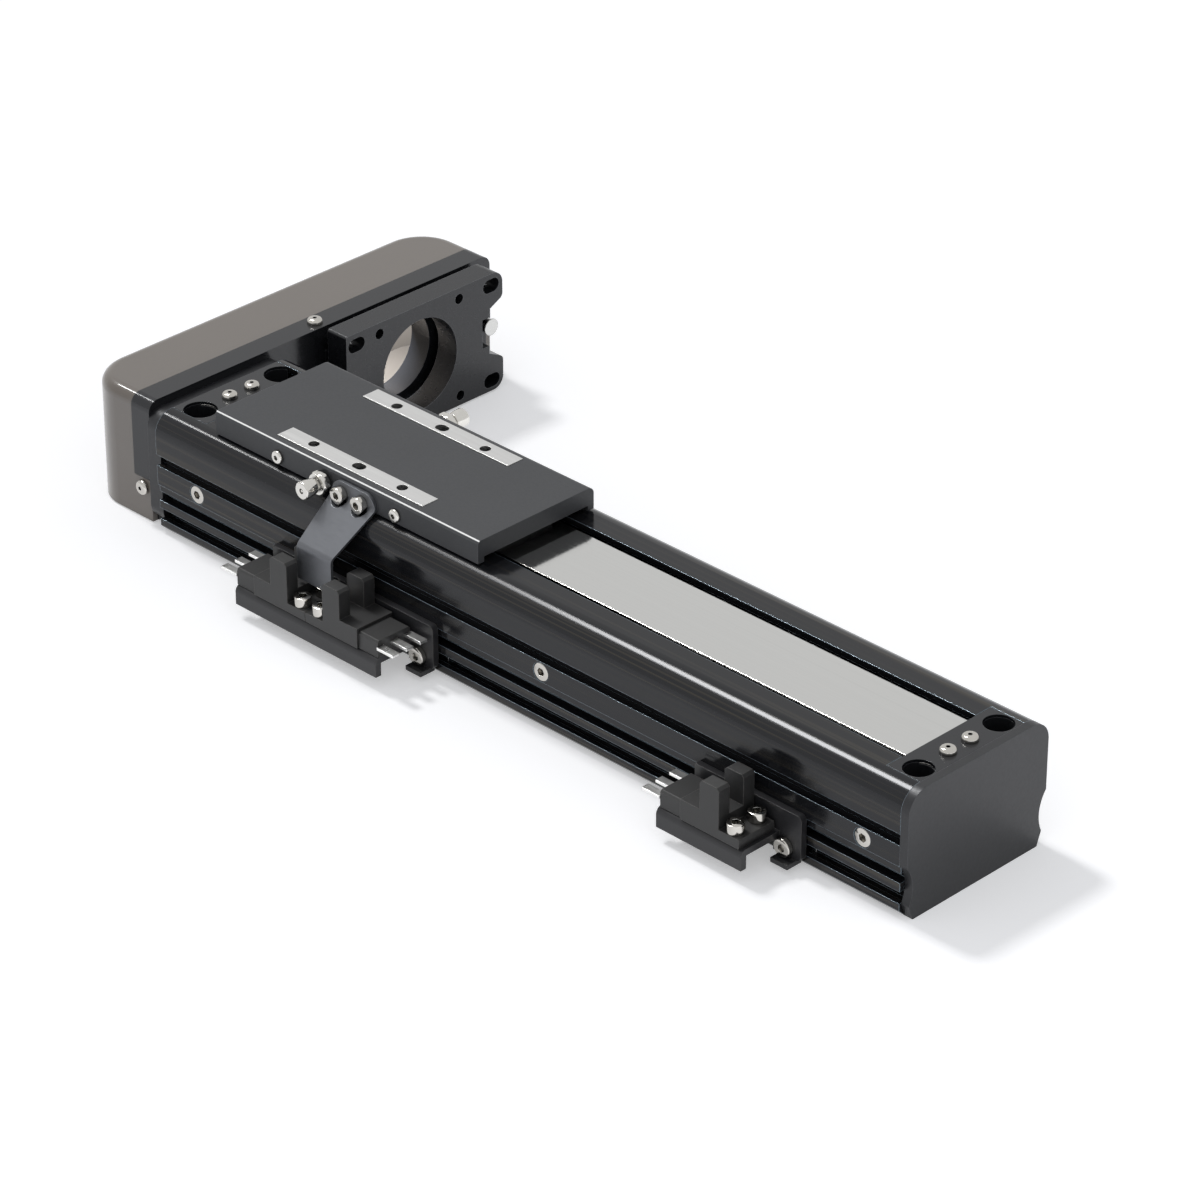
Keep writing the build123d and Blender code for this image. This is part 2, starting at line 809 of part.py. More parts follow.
# Belt housing plate: bolted to the rear block, with rest pads for the motor plate
housing_width = housing_high_y - housing_low_y
housing_middle_y = (housing_high_y + housing_low_y) / 2
housing_middle_z = (housing_top + housing_bottom) / 2
housing_rear = x_housing - housing_plate_thickness
rest_low_y = motor_plate_low_y + rest_pad_inset + rest_pad_width / 2
rest_high_y = notch_floor_y - rest_pad_inset - rest_pad_width / 2
with BuildPart() as housing_plate:
    with BuildSketch(x_plane(housing_rear)) as plate_outline:
        with Locations((housing_middle_y, housing_middle_z)):
            Rectangle(housing_width, housing_top - housing_bottom)
        fillet(plate_outline.vertices().group_by(Axis.Y)[-1], radius=housing_corner)
        for side_y in (housing_low_y, housing_high_y):
            with Locations((side_y, housing_bottom)):
                Rectangle(
                    2 * (belt_cover_wall + tab_margin),
                    2 * (tab_height + tab_margin),
                    mode=Mode.SUBTRACT,
                )
        with Locations((motor_y, screw_z)):
            Circle(motor_opening_radius, mode=Mode.SUBTRACT)
        with Locations((0, screw_z)):
            Circle(retainer_bore_radius, mode=Mode.SUBTRACT)
        with Locations((belt_slot_y, screw_z)):
            with GridLocations(belt_slot_pitch_y, belt_slot_pitch_z, 2, 2):
                Circle(motor_screw_radius, mode=Mode.SUBTRACT)
        with Locations((post_y, post_z)):
            Circle(post_radius, mode=Mode.SUBTRACT)
    extrude(amount=housing_plate_thickness)
    with BuildSketch(x_plane(x_housing)):
        with Locations(((rest_low_y + rest_high_y) / 2, screw_z)):
            with GridLocations(rest_high_y - rest_low_y, rest_pad_pitch_z, 2, 2):
                Rectangle(rest_pad_width, rest_pad_height)
    extrude(amount=motor_plate_gap)
    for side in near_and_far:
        for rise in (-housing_screw_dz, housing_screw_dz):
            with Locations(facing_rear(housing_rear, side * housing_screw_y, screw_z + rise)):
                CounterBoreHole(
                    radius=m3_radius + seat_gap,
                    counter_bore_radius=m3_head_radius + seat_gap,
                    counter_bore_depth=m3_head_height,
                    depth=housing_plate_thickness,
                )
    screw_middle_x = x_housing - housing_plate_thickness / 2
    with Locations(
        side_plane(-1, screw_middle_x, -housing_low_y - belt_cover_wall, cover_screw_z),
        side_plane(1, screw_middle_x, housing_high_y - belt_cover_wall, cover_screw_z),
        upright_plane(screw_middle_x, cover_top_screw_y, housing_top),
    ):
        Hole(radius=m3_radius + seat_gap, depth=cover_screw_grip + belt_cover_wall)
housing_plate.part.label = "housing_plate"
export_step(housing_plate.part, "parts/housing_plate.step")

housing_screw = cap_screw(
    m3_radius,
    housing_plate_thickness - m3_head_height + rear_plate_thickness + housing_screw_grip,
    m3_head_radius,
    m3_head_height,
)
with BuildPart() as housing_screws:
    for side in near_and_far:
        for rise in (-housing_screw_dz, housing_screw_dz):
            with Locations(
                facing_rear(
                    housing_rear + m3_head_height, side * housing_screw_y, screw_z + rise
                )
            ):
                add(housing_screw)
housing_screws.part.label = "housing_screws"
export_step(housing_screws.part, "parts/housing_screws.step")

# Belt cover: a drawn shell over the pulleys, open to the plate, with two side tabs
cover_rear = housing_rear - belt_cover_depth
with BuildPart() as belt_cover:
    with BuildSketch(
        upright_plane((cover_rear + housing_rear) / 2, housing_middle_y, housing_bottom)
    ) as cover_plan:
        Rectangle(belt_cover_depth, housing_width)
        fillet(cover_plan.vertices().group_by(Axis.X)[0], radius=belt_cover_round)
    extrude(amount=housing_top - housing_bottom)
    rim = belt_cover.edges().group_by(Axis.Z)[-1].filter_by_position(
        Axis.X, cover_rear - 1, housing_rear - 0.01
    )
    fillet(rim, radius=housing_corner)
    offset(
        amount=-belt_cover_wall,
        openings=belt_cover.faces().sort_by(Axis.X)[-1],
    )
    for side_y, inwards in ((housing_low_y, 1), (housing_high_y, -1)):
        with BuildSketch(side_plane(-inwards, housing_rear, abs(side_y), housing_bottom)):
            with Locations((inwards * (housing_plate_thickness - tab_short) / 2, tab_height / 2)):
                Rectangle(housing_plate_thickness - tab_short, tab_height)
            with Locations((inwards * housing_plate_thickness / 2, cover_screw_z - housing_bottom)):
                Circle(m3_radius + seat_gap, mode=Mode.SUBTRACT)
        extrude(amount=-belt_cover_wall)
belt_cover.part.label = "belt_cover"
export_step(belt_cover.part, "parts/belt_cover.step")

cover_screw = button_screw(
    m3_radius, belt_cover_wall + cover_screw_grip, button_radius, button_height
)
with BuildPart() as cover_screws:
    with Locations(
        side_plane(-1, screw_middle_x, -housing_low_y, cover_screw_z),
        side_plane(1, screw_middle_x, housing_high_y, cover_screw_z),
        upright_plane(screw_middle_x, cover_top_screw_y, housing_top),
    ):
        add(cover_screw)
cover_screws.part.label = "cover_screws"
export_step(cover_screws.part, "parts/cover_screws.step")

# Belt tension post, pressed into the plate, inside the motor plate's notch
with BuildPart() as tension_post:
    with Locations(facing_front(x_housing, post_y, post_z)):
        Cylinder(
            post_radius,
            motor_plate_gap + motor_plate_thickness + post_proud,
            align=(Align.CENTER, Align.CENTER, Align.MIN),
        )
        Cylinder(
            post_radius - seat_gap,
            housing_plate_thickness,
            align=(Align.CENTER, Align.CENTER, Align.MAX),
        )
    chamfer(tension_post.edges().group_by(Axis.X)[-1], length=post_radius / 6)
tension_post.part.label = "tension_post"
export_step(tension_post.part, "parts/tension_post.step")

# Motor plate: pilot bore, four tapped holes, four adjusting slots and a notch
motor_face_x = x_housing + motor_plate_gap
with BuildPart() as motor_plate:
    with BuildSketch(x_plane(motor_face_x)) as motor_outline:
        with Locations(
            (
                (motor_plate_low_y + motor_plate_high_y) / 2,
                (motor_plate_bottom + motor_plate_top) / 2,
            )
        ):
            Rectangle(
                motor_plate_high_y - motor_plate_low_y, motor_plate_top - motor_plate_bottom
            )
        fillet(motor_outline.vertices().group_by(Axis.X)[-1], radius=motor_plate_corner)
        fillet(motor_outline.vertices().group_by(Axis.X)[0], radius=motor_plate_edge)
        with BuildLine():
            Polyline(
                (motor_plate_high_y + 1, notch_z - notch_height / 2 - notch_flare),
                (motor_plate_high_y, notch_z - notch_height / 2 - notch_flare),
                (notch_floor_y, notch_z - notch_height / 2),
                (notch_floor_y, notch_z + notch_height / 2),
                (motor_plate_high_y, notch_z + notch_height / 2 + notch_flare),
                (motor_plate_high_y + 1, notch_z + notch_height / 2 + notch_flare),
                close=True,
            )
        make_face(mode=Mode.SUBTRACT)
        ears = motor_outline.vertices().filter_by_position(
            Axis.X, motor_plate_high_y - 0.01, motor_plate_high_y + 0.01
        )
        fillet(
            ears.filter_by_position(
                Axis.Y, motor_plate_bottom + belt_slot_width, motor_plate_top - belt_slot_width
            ),
            radius=notch_ear_round,
        )
        with Locations((notch_floor_y, notch_z)):
            Rectangle(2 * recess_depth, recess_height, mode=Mode.SUBTRACT)
        with Locations((motor_y, screw_z)):
            Circle(motor_pilot_radius, mode=Mode.SUBTRACT)
            with GridLocations(motor_screw_square, motor_screw_square, 2, 2):
                Circle(motor_screw_radius, mode=Mode.SUBTRACT)
        with Locations((belt_slot_y, screw_z)):
            with GridLocations(belt_slot_pitch_y, belt_slot_pitch_z, 2, 2):
                SlotOverall(belt_slot_length, belt_slot_width, mode=Mode.SUBTRACT)
    extrude(amount=motor_plate_thickness)
motor_plate.part.label = "motor_plate"
export_step(motor_plate.part, "parts/motor_plate.step")

# Ball screw: journals, thread core and the stepped pulley end
screw_front = base_front - front_bearing_cover - seat_gap
thread_end = front_block_x - thread_relief
lock_nut_x = base_rear - lock_nut_width
pulley_x = housing_rear - pulley_clear
shaft_rear = pulley_x - pulley_hub_length - pulley_width - 2 * pulley_flange - shaft_end_proud
thread_start = base_rear + 2 * rear_bearing_width
with BuildPart() as ball_screw:
    for start_x, end_x, radius in (
        (shaft_rear, lock_nut_x, pulley_shaft_radius),
        (lock_nut_x, thread_start, rear_journal_radius),
        (thread_start, thread_end, screw_radius),
        (thread_end, screw_front, front_journal_radius),
    ):
        with BuildSketch(x_plane(start_x)):
            with Locations((0, screw_z)):
                Circle(radius)
        extrude(amount=end_x - start_x)
    chamfer(ball_screw.edges().group_by(Axis.X)[0], length=pulley_shaft_radius / 6)
ball_screw.part.label = "ball_screw"
export_step(ball_screw.part, "parts/ball_screw.step")

# Lock nut that draws the rear bearings against the screw's shoulder
with BuildPart() as bearing_lock_nut:
    with Locations(facing_front(lock_nut_x, 0, screw_z)):
        add(ring(lock_nut_radius, rear_journal_radius + seat_gap, lock_nut_width))
    with BuildSketch(x_plane(lock_nut_x)):
        with Locations((0, screw_z)):
            with PolarLocations(lock_nut_radius, 4):
                Rectangle(lock_nut_radius / 3, lock_nut_radius / 2)
    extrude(amount=lock_nut_width / 2, mode=Mode.SUBTRACT)
bearing_lock_nut.part.label = "bearing_lock_nut"
export_step(bearing_lock_nut.part, "parts/bearing_lock_nut.step")

pitch_radius = pulley_teeth * belt_pitch / (2 * pi)
hub_x = pulley_x - 2 * pulley_flange - pulley_width


def hub_screw_plane(turn):
    """The seat of a set screw in the pulley's hub, facing outwards."""
    angle = radians(turn)
    return Plane(
        origin=(
            hub_x - pulley_hub_length / 2,
            pulley_hub_radius * cos(angle),
            screw_z + pulley_hub_radius * sin(angle),
        ),
        x_dir=(1, 0, 0),
        z_dir=(0, cos(angle), sin(angle)),
    )


# Driven pulley: belt teeth between two flanges, and a hub
with BuildPart() as driven_pulley:
    with BuildSketch(x_plane(pulley_x - pulley_flange)):
        with Locations((0, screw_z)):
            Circle(pitch_radius)
            with PolarLocations(pitch_radius, pulley_teeth):
                Rectangle(2 * tooth_depth, tooth_gap, mode=Mode.SUBTRACT)
    extrude(amount=-pulley_width)
    for flange_x in (pulley_x - pulley_flange, pulley_x - 2 * pulley_flange - pulley_width):
        with BuildSketch(x_plane(flange_x)):
            with Locations((0, screw_z)):
                Circle(pitch_radius + pulley_flange_reach)
        extrude(amount=pulley_flange)
    with BuildSketch(x_plane(hub_x)):
        with Locations((0, screw_z)):
            Circle(pulley_hub_radius)
    extrude(amount=-pulley_hub_length)
    with Locations(facing_front(pulley_x, 0, screw_z)):
        Hole(radius=pulley_shaft_radius + seat_gap)
    for turn in (0, 90):
        with Locations(hub_screw_plane(turn)):
            Hole(radius=m3_radius + seat_gap, depth=pulley_hub_radius)
driven_pulley.part.label = "driven_pulley"
export_step(driven_pulley.part, "parts/driven_pulley.step")

with BuildPart() as pulley_set_screws:
    for turn in (0, 90):
        with Locations(hub_screw_plane(turn)):
            Cylinder(
                m3_radius,
                pulley_hub_radius - pulley_shaft_radius - 2 * seat_gap,
                align=(Align.CENTER, Align.CENTER, Align.MAX),
            )
pulley_set_screws.part.label = "pulley_set_screws"
export_step(pulley_set_screws.part, "parts/pulley_set_screws.step")

# Nut block: runs between the raceways; thin legs pass the strip's edges to shoulders
nut_rear = carriage_rest - nut_block_length / 2 + return_cap_length
nut_front = carriage_rest + nut_block_length / 2 - return_cap_length
with BuildPart() as nut_block:
    with BuildSketch(x_plane(nut_rear)):
        with BuildLine() as half_block:
            Polyline(
                (0, nut_block_bottom),
                (nut_block_half, nut_block_bottom),
                (nut_block_half, nut_block_top),
                (leg_outer, nut_block_top),
                (leg_outer, skirt_bottom),
                (shoulder_half, skirt_bottom),
                (shoulder_half, carriage_underside),
                (leg_inner, carriage_underside),
                (leg_inner, nut_block_top),
                (0, nut_block_top),
            )
            mirror(half_block.line, about=Plane.YZ)
        make_face()
        for side in near_and_far:
            with Locations((side * ball_line_y, ball_line_z)):
                Circle(ball_groove_radius, mode=Mode.SUBTRACT)
        with Locations((0, screw_z)):
            Circle(nut_radius + seat_gap, mode=Mode.SUBTRACT)
    extrude(amount=nut_front - nut_rear)
    with Locations(facing_front(nut_front, 0, screw_z)):
        with PolarLocations(nut_screw_circle, 4, start_angle=45):
            Hole(radius=m25_radius + seat_gap, depth=nut_flange_width * 2)
    with Locations((carriage_rest + pad_offset, 0, carriage_underside)):
        with GridLocations(table_screw_pitch, 2 * pad_y, 2, 2):
            Hole(radius=m25_radius + seat_gap, depth=carriage_underside - skirt_bottom)
nut_block.part.label = "nut_block"
export_step(nut_block.part, "parts/nut_block.step")

# Return caps: moulded end caps that turn the balls round at each end of the block
with BuildPart() as return_caps:
    for cap_x in (nut_rear - return_cap_length, nut_front):
        with BuildSketch(x_plane(cap_x)):
            with Locations((0, (nut_block_bottom + nut_block_top) / 2)):
                RectangleRounded(
                    2 * (nut_block_half - return_cap_inset),
                    nut_block_top - nut_block_bottom - 2 * return_cap_inset,
                    return_cap_corner,
                )
            with Locations((0, screw_z)):
                Circle(return_cap_bore, mode=Mode.SUBTRACT)
        extrude(amount=return_cap_length)
return_caps.part.label = "return_caps"
export_step(return_caps.part, "parts/return_caps.step")

# Ball nut, its flange let into the front return cap
with BuildPart() as ball_nut:
    with Locations(facing_rear(nut_front, 0, screw_z)):
        Cylinder(nut_radius, nut_length, align=(Align.CENTER, Align.CENTER, Align.MIN))
    with Locations(facing_front(nut_front, 0, screw_z)):
        Cylinder(
            nut_flange_radius, nut_flange_width, align=(Align.CENTER, Align.CENTER, Align.MIN)
        )
    with Locations(facing_front(nut_front + nut_flange_width, 0, screw_z)):
        Hole(radius=screw_radius + running_gap)
        with PolarLocations(nut_screw_circle, 4, start_angle=45):
            Hole(radius=m25_radius + seat_gap, depth=nut_flange_width)
ball_nut.part.label = "ball_nut"
export_step(ball_nut.part, "parts/ball_nut.step")

nut_screw = cap_screw(
    m25_radius, nut_flange_width * 2, nut_screw_head_radius, nut_screw_head_height
)
with BuildPart() as ball_nut_screws:
    with Locations(facing_front(nut_front + nut_flange_width, 0, screw_z)):
        with PolarLocations(nut_screw_circle, 4, start_angle=45):
            add(nut_screw)
ball_nut_screws.part.label = "ball_nut_screws"
export_step(ball_nut_screws.part, "parts/ball_nut_screws.step")

# Strip guides: slippery blocks under the table's ends that hold the strip down
with BuildPart() as strip_guides:
    guide_x = carriage_length / 2 - strip_guide_inset - strip_guide_length / 2
    with BuildSketch(upright_plane(carriage_rest, 0, strip_top + strip_guide_gap)):
        with GridLocations(2 * guide_x, 1, 2, 1):
            RectangleRounded(strip_guide_length, 2 * strip_half, strip_guide_length / 5)
    extrude(amount=carriage_underside - strip_top - strip_guide_gap)
strip_guides.part.label = "strip_guides"
export_step(strip_guides.part, "parts/strip_guides.step")

# Carriage table: arched beneath, chamfered along its near edge, rounded along its far one
with BuildPart() as carriage_table:
    with BuildSketch(x_plane(carriage_rest - carriage_length / 2)) as table_outline:
        with BuildLine() as half_table:
            Polyline(
                (0, carriage_underside),
                (carriage_half - skirt_wall, carriage_underside),
                (carriage_half - skirt_wall, skirt_bottom),
                (carriage_half, skirt_bottom),
                (carriage_half, carriage_top),
                (0, carriage_top),
            )
            mirror(half_table.line, about=Plane.YZ)
        make_face()
        top_corners = table_outline.vertices().group_by(Axis.Y)[-1].sort_by(Axis.X)
        chamfer(top_corners[0], length=carriage_edge)
        fillet(top_corners[-1], radius=carriage_round)
    extrude(amount=carriage_length)
    with BuildSketch(upright_plane(carriage_rest + pad_offset, 0, carriage_top)):
        with GridLocations(1, 2 * pad_y, 1, 2):
            Rectangle(pad_length + 2 * pad_fit, pad_width + 2 * pad_fit)
    extrude(amount=-pad_depth, mode=Mode.SUBTRACT)
    with Locations((carriage_rest + pad_offset, 0, carriage_top - pad_depth)):
        with GridLocations(pad_hole_pitch, 2 * pad_hole_y, 3, 2):
            Hole(radius=pad_hole_radius, depth=carriage_top - carriage_underside)
        with GridLocations(table_screw_pitch, 2 * pad_y, 2, 2):
            CounterSinkHole(
                radius=m25_radius + seat_gap,
                counter_sink_radius=m25_head_radius + seat_gap,
                depth=carriage_top - carriage_underside,
            )
    for side in near_and_far:
        with Locations(side_plane(side, carriage_rest + nipple_x, carriage_half, port_z)):
            Hole(radius=m3_radius + seat_gap, depth=skirt_wall)
        with Locations(
            side_plane(side, carriage_rest + plug_rear_x, carriage_half, port_z),
            side_plane(side, carriage_rest + plug_front_x, carriage_half, port_z),
        ):
            Hole(radius=plug_radius + seat_gap, depth=skirt_wall)
    with Locations(side_plane(-1, carriage_rest + flag_screw_x, carriage_half, flag_screw_z)):
        with GridLocations(flag_screw_pitch, 1, 2, 1):
            Hole(radius=m25_radius + seat_gap, depth=skirt_wall)
carriage_table.part.label = "carriage_table"
export_step(carriage_table.part, "parts/carriage_table.step")

# Brushed pads: inlaid mounting strips over the table screws
for side, name in ((-1, "carriage_pad_near"), (1, "carriage_pad_far")):
    with BuildPart() as carriage_pad:
        with BuildSketch(
            upright_plane(carriage_rest + pad_offset, side * pad_y, carriage_top - pad_depth)
        ):
            Rectangle(pad_length, pad_width)
            with Locations((0, side * (pad_hole_y - pad_y))):
                with GridLocations(pad_hole_pitch, 1, 3, 1):
                    Circle(pad_hole_radius, mode=Mode.SUBTRACT)
                with Locations((pad_dowel_step, 0)):
                    Circle(pad_hole_radius, mode=Mode.SUBTRACT)
        extrude(amount=pad_depth + pad_proud)
        pad_rim = carriage_pad.edges().group_by(Axis.Z)[-1].filter_by(GeomType.LINE)
        chamfer(pad_rim, length=pad_proud / 2)
    carriage_pad.part.label = name
    export_step(carriage_pad.part, f"parts/{name}.step")

# Countersunk screws that hold the table on the nut block's shoulders
table_screw = sunk_screw(
    m25_radius, carriage_top - pad_depth - skirt_bottom - seat_gap, m25_head_radius
)
with BuildPart() as table_screws:
    with Locations((carriage_rest + pad_offset, 0, carriage_top - pad_depth)):
        with GridLocations(table_screw_pitch, 2 * pad_y, 2, 2):
            add(table_screw)
table_screws.part.label = "table_screws"
export_step(table_screws.part, "parts/table_screws.step")

# Domed plugs in the carriage's side ports
with BuildPart() as side_plug:
    Cylinder(
        plug_head_radius, plug_head_height, align=(Align.CENTER, Align.CENTER, Align.MIN)
    )
    chamfer(side_plug.edges().group_by(Axis.Z)[-1], length=plug_head_height * 0.7)
    Cylinder(
        plug_radius, skirt_wall - seat_gap, align=(Align.CENTER, Align.CENTER, Align.MAX)
    )
with BuildPart() as carriage_plugs:
    for side in near_and_far:
        with Locations(
            side_plane(side, carriage_rest + plug_rear_x, carriage_half, port_z),
            side_plane(side, carriage_rest + plug_front_x, carriage_half, port_z),
        ):
            add(side_plug.part)
carriage_plugs.part.label = "carriage_plugs"
export_step(carriage_plugs.part, "parts/carriage_plugs.step")

# Grease nipples: a collar, a hexagon, a neck and a cone that widens to the end
with BuildPart() as nipple:
    Cylinder(
        m3_radius, skirt_wall - seat_gap, align=(Align.CENTER, Align.CENTER, Align.MAX)
    )
    with BuildSketch(Plane.XY):
        Circle(nipple_hex_flats * 0.4)
    extrude(amount=nipple_collar)
    with BuildSketch(Plane.XY.offset(nipple_collar)):
        RegularPolygon(radius=nipple_hex_flats / 2, side_count=6, major_radius=False)
    extrude(amount=nipple_hex_length)
    neck_end = nipple_collar + nipple_hex_length + nipple_neck_length
    with BuildSketch(Plane.XZ):
        with BuildLine():
            Polyline(
                (0, nipple_collar),
                (m3_radius, nipple_collar),
                (m3_radius, neck_end),
                (nipple_end_radius, neck_end + nipple_cone_length),
                (nipple_end_radius, nipple_reach),
                (0, nipple_reach),
                close=True,
            )
        make_face()
    revolve(axis=Axis.Z)
for side, name in ((-1, "grease_nipple_near"), (1, "grease_nipple_far")):
    with BuildPart() as grease_nipple:
        with Locations(side_plane(side, carriage_rest + nipple_x, carriage_half, port_z)):
            add(nipple.part)
    grease_nipple.part.label = name
    export_step(grease_nipple.part, f"parts/{name}.step")

# Sensor flag: sheet bent out and down from the table's side, spot-faced at its screws
with BuildPart() as sensor_flag:
    flag_y = carriage_half + flag_sheet / 2
    flag_rear = carriage_rest + flag_rear_x
    with BuildSketch(x_plane(flag_rear)):
        with BuildLine():
            FilletPolyline(
                (-flag_y, flag_top),
                (-flag_y, flag_bend_z),
                (sensor_y, flag_blade_top),
                (sensor_y, flag_blade_bottom),
                radius=flag_bend,
            )
        trace(line_width=flag_sheet)
    extrude(amount=flag_tab_width)
    with BuildSketch(side_plane(-1, flag_rear, 0, 0)):
        with BuildLine():
            Polyline(
                (flag_tab_width, flag_bend_z),
                (flag_blade_width, flag_blade_top),
                (flag_blade_width, flag_blade_bottom - 1),
                (flag_tab_width + 1, flag_blade_bottom - 1),
                (flag_tab_width + 1, flag_bend_z),
                close=True,
            )
        make_face()
    extrude(amount=-2 * sensor_y, mode=Mode.SUBTRACT)
    fillet(
        sensor_flag.edges().filter_by(Axis.Y).group_by(Axis.Z)[-1],
        radius=flag_corner,
    )
    with Locations(
        side_plane(-1, carriage_rest + flag_screw_x, carriage_half + flag_sheet, flag_screw_z)
    ):
        with GridLocations(flag_screw_pitch, 1, 2, 1):
            Cylinder(
                flag_spot_radius,
                -2 * sensor_y,
                align=(Align.CENTER, Align.CENTER, Align.MIN),
                mode=Mode.SUBTRACT,
            )
            Hole(radius=m25_radius + seat_gap, depth=2 * flag_sheet)
sensor_flag.part.label = "sensor_flag"
export_step(sensor_flag.part, "parts/sensor_flag.step")

flag_screw = cap_screw(
    m25_radius, flag_sheet + skirt_wall - seat_gap, flag_head_radius, flag_head_height
)
with BuildPart() as flag_screws:
    with Locations(
        side_plane(-1, carriage_rest + flag_screw_x, carriage_half + flag_sheet, flag_screw_z)
    ):
        with GridLocations(flag_screw_pitch, 1, 2, 1):
            add(flag_screw)
flag_screws.part.label = "flag_screws"
export_step(flag_screws.part, "parts/flag_screws.step")

# Slot sensors: a forked optical sensor on a tab, with a plug block on its tail
def slot_sensor():
    """A sensor with its tab's end at x 0 and its tail towards -X."""
    with BuildPart() as sensor:
        with BuildSketch(side_plane(-1, 0, sensor_width / 2 - sensor_y, 0)):
            with BuildLine():
                Polyline(
                    (0, sensor_floor_z),
                    (0, sensor_floor_z + sensor_tab_height),
                    (-sensor_tab_length, sensor_floor_z + sensor_tab_height),
                    (-sensor_tab_length, sensor_top - sensor_chamfer),
                    (-sensor_tab_length - sensor_chamfer, sensor_top),
                    (-sensor_tab_length - sensor_prong_length + sensor_chamfer, sensor_top),
                    (-sensor_tab_length - sensor_prong_length, sensor_top - sensor_chamfer),
                    (-sensor_tab_length - sensor_prong_length, sensor_step),
                    (-sensor_length, sensor_step),
                    (-sensor_length, sensor_floor_z),
                    close=True,
                )
            make_face()
        extrude(amount=-sensor_width)
        with BuildSketch(
            upright_plane(-sensor_tab_length - sensor_prong_length / 2, sensor_y, sensor_step)
        ):
            Rectangle(sensor_prong_length, sensor_slot)
        extrude(amount=sensor_height, mode=Mode.SUBTRACT)
        with Locations((-sensor_tab_length / 2, sensor_y, sensor_floor_z + sensor_tab_height)):
            with GridLocations(1, sensor_screw_pitch, 1, 2):
                Hole(radius=m3_radius + seat_gap, depth=sensor_tab_height)
    return sensor.part


def sensor_socket():
    """The plug block behind the sensor's tail."""
    with BuildPart() as socket:
        with BuildSketch(
            upright_plane(-sensor_length - socket_length / 2, sensor_y, sensor_floor_z)
        ):
            Rectangle(socket_length, sensor_width - 2 * socket_inset)
        extrude(amount=socket_height)
        chamfer(socket.edges().filter_by(Axis.X).group_by(Axis.Z)[-1], length=socket_inset)
    return socket.part


def sensor_terminals():
    """Three flat blades that stand out of the plug block."""
    with BuildPart() as terminals:
        with BuildSketch(
            upright_plane(
                -station_length - terminal_length / 2, sensor_y, terminal_z - terminal_thickness / 2
            )
        ):
            with GridLocations(1, terminal_pitch, 1, 3):
                Rectangle(terminal_length, terminal_width)
        extrude(amount=terminal_thickness)
    return terminals.part


sensor_solid = slot_sensor()
socket_solid = sensor_socket()
terminals_solid = sensor_terminals()
stations = (
    ("rear_limit_sensor", sensor_pair_x - sensor_pair_gap / 2, False),
    ("home_sensor", sensor_pair_x + sensor_pair_gap / 2, True),
    ("front_limit_sensor", front_sensor_x, False),
)


def placed(solid, station_x, mirrored):
    """A station's solid, moved to its place and turned end for end if mirrored."""
    if mirrored:
        solid = solid.mirror(Plane.YZ)
    return solid.moved(Location((station_x, 0, 0)))


for name, station_x, mirrored in stations:
    with BuildPart() as sensor:
        add(placed(sensor_solid, station_x, mirrored))
    sensor.part.label = name
    export_step(sensor.part, f"parts/{name}.step")

with BuildPart() as sensor_sockets:
    for name, station_x, mirrored in stations:
        add(placed(socket_solid, station_x, mirrored))
sensor_sockets.part.label = "sensor_sockets"
export_step(sensor_sockets.part, "parts/sensor_sockets.step")

with BuildPart() as sensor_terminal_blades:
    for name, station_x, mirrored in stations:
        add(placed(terminals_solid, station_x, mirrored))
sensor_terminal_blades.part.label = "sensor_terminal_blades"
export_step(sensor_terminal_blades.part, "parts/sensor_terminal_blades.step")

sensor_screw = cap_screw(
    m3_radius, sensor_tab_height + bracket_sheet, sensor_head_radius, m3_head_height
)
with BuildPart() as sensor_screws:
    for name, station_x, mirrored in stations:
        tab_x = station_x + (1 if mirrored else -1) * sensor_tab_length / 2
        with Locations((tab_x, sensor_y, sensor_floor_z + sensor_tab_height)):
            with GridLocations(1, sensor_screw_pitch, 1, 2):
                add(sensor_screw)
sensor_screws.part.label = "sensor_screws"
export_step(sensor_screws.part, "parts/sensor_screws.step")

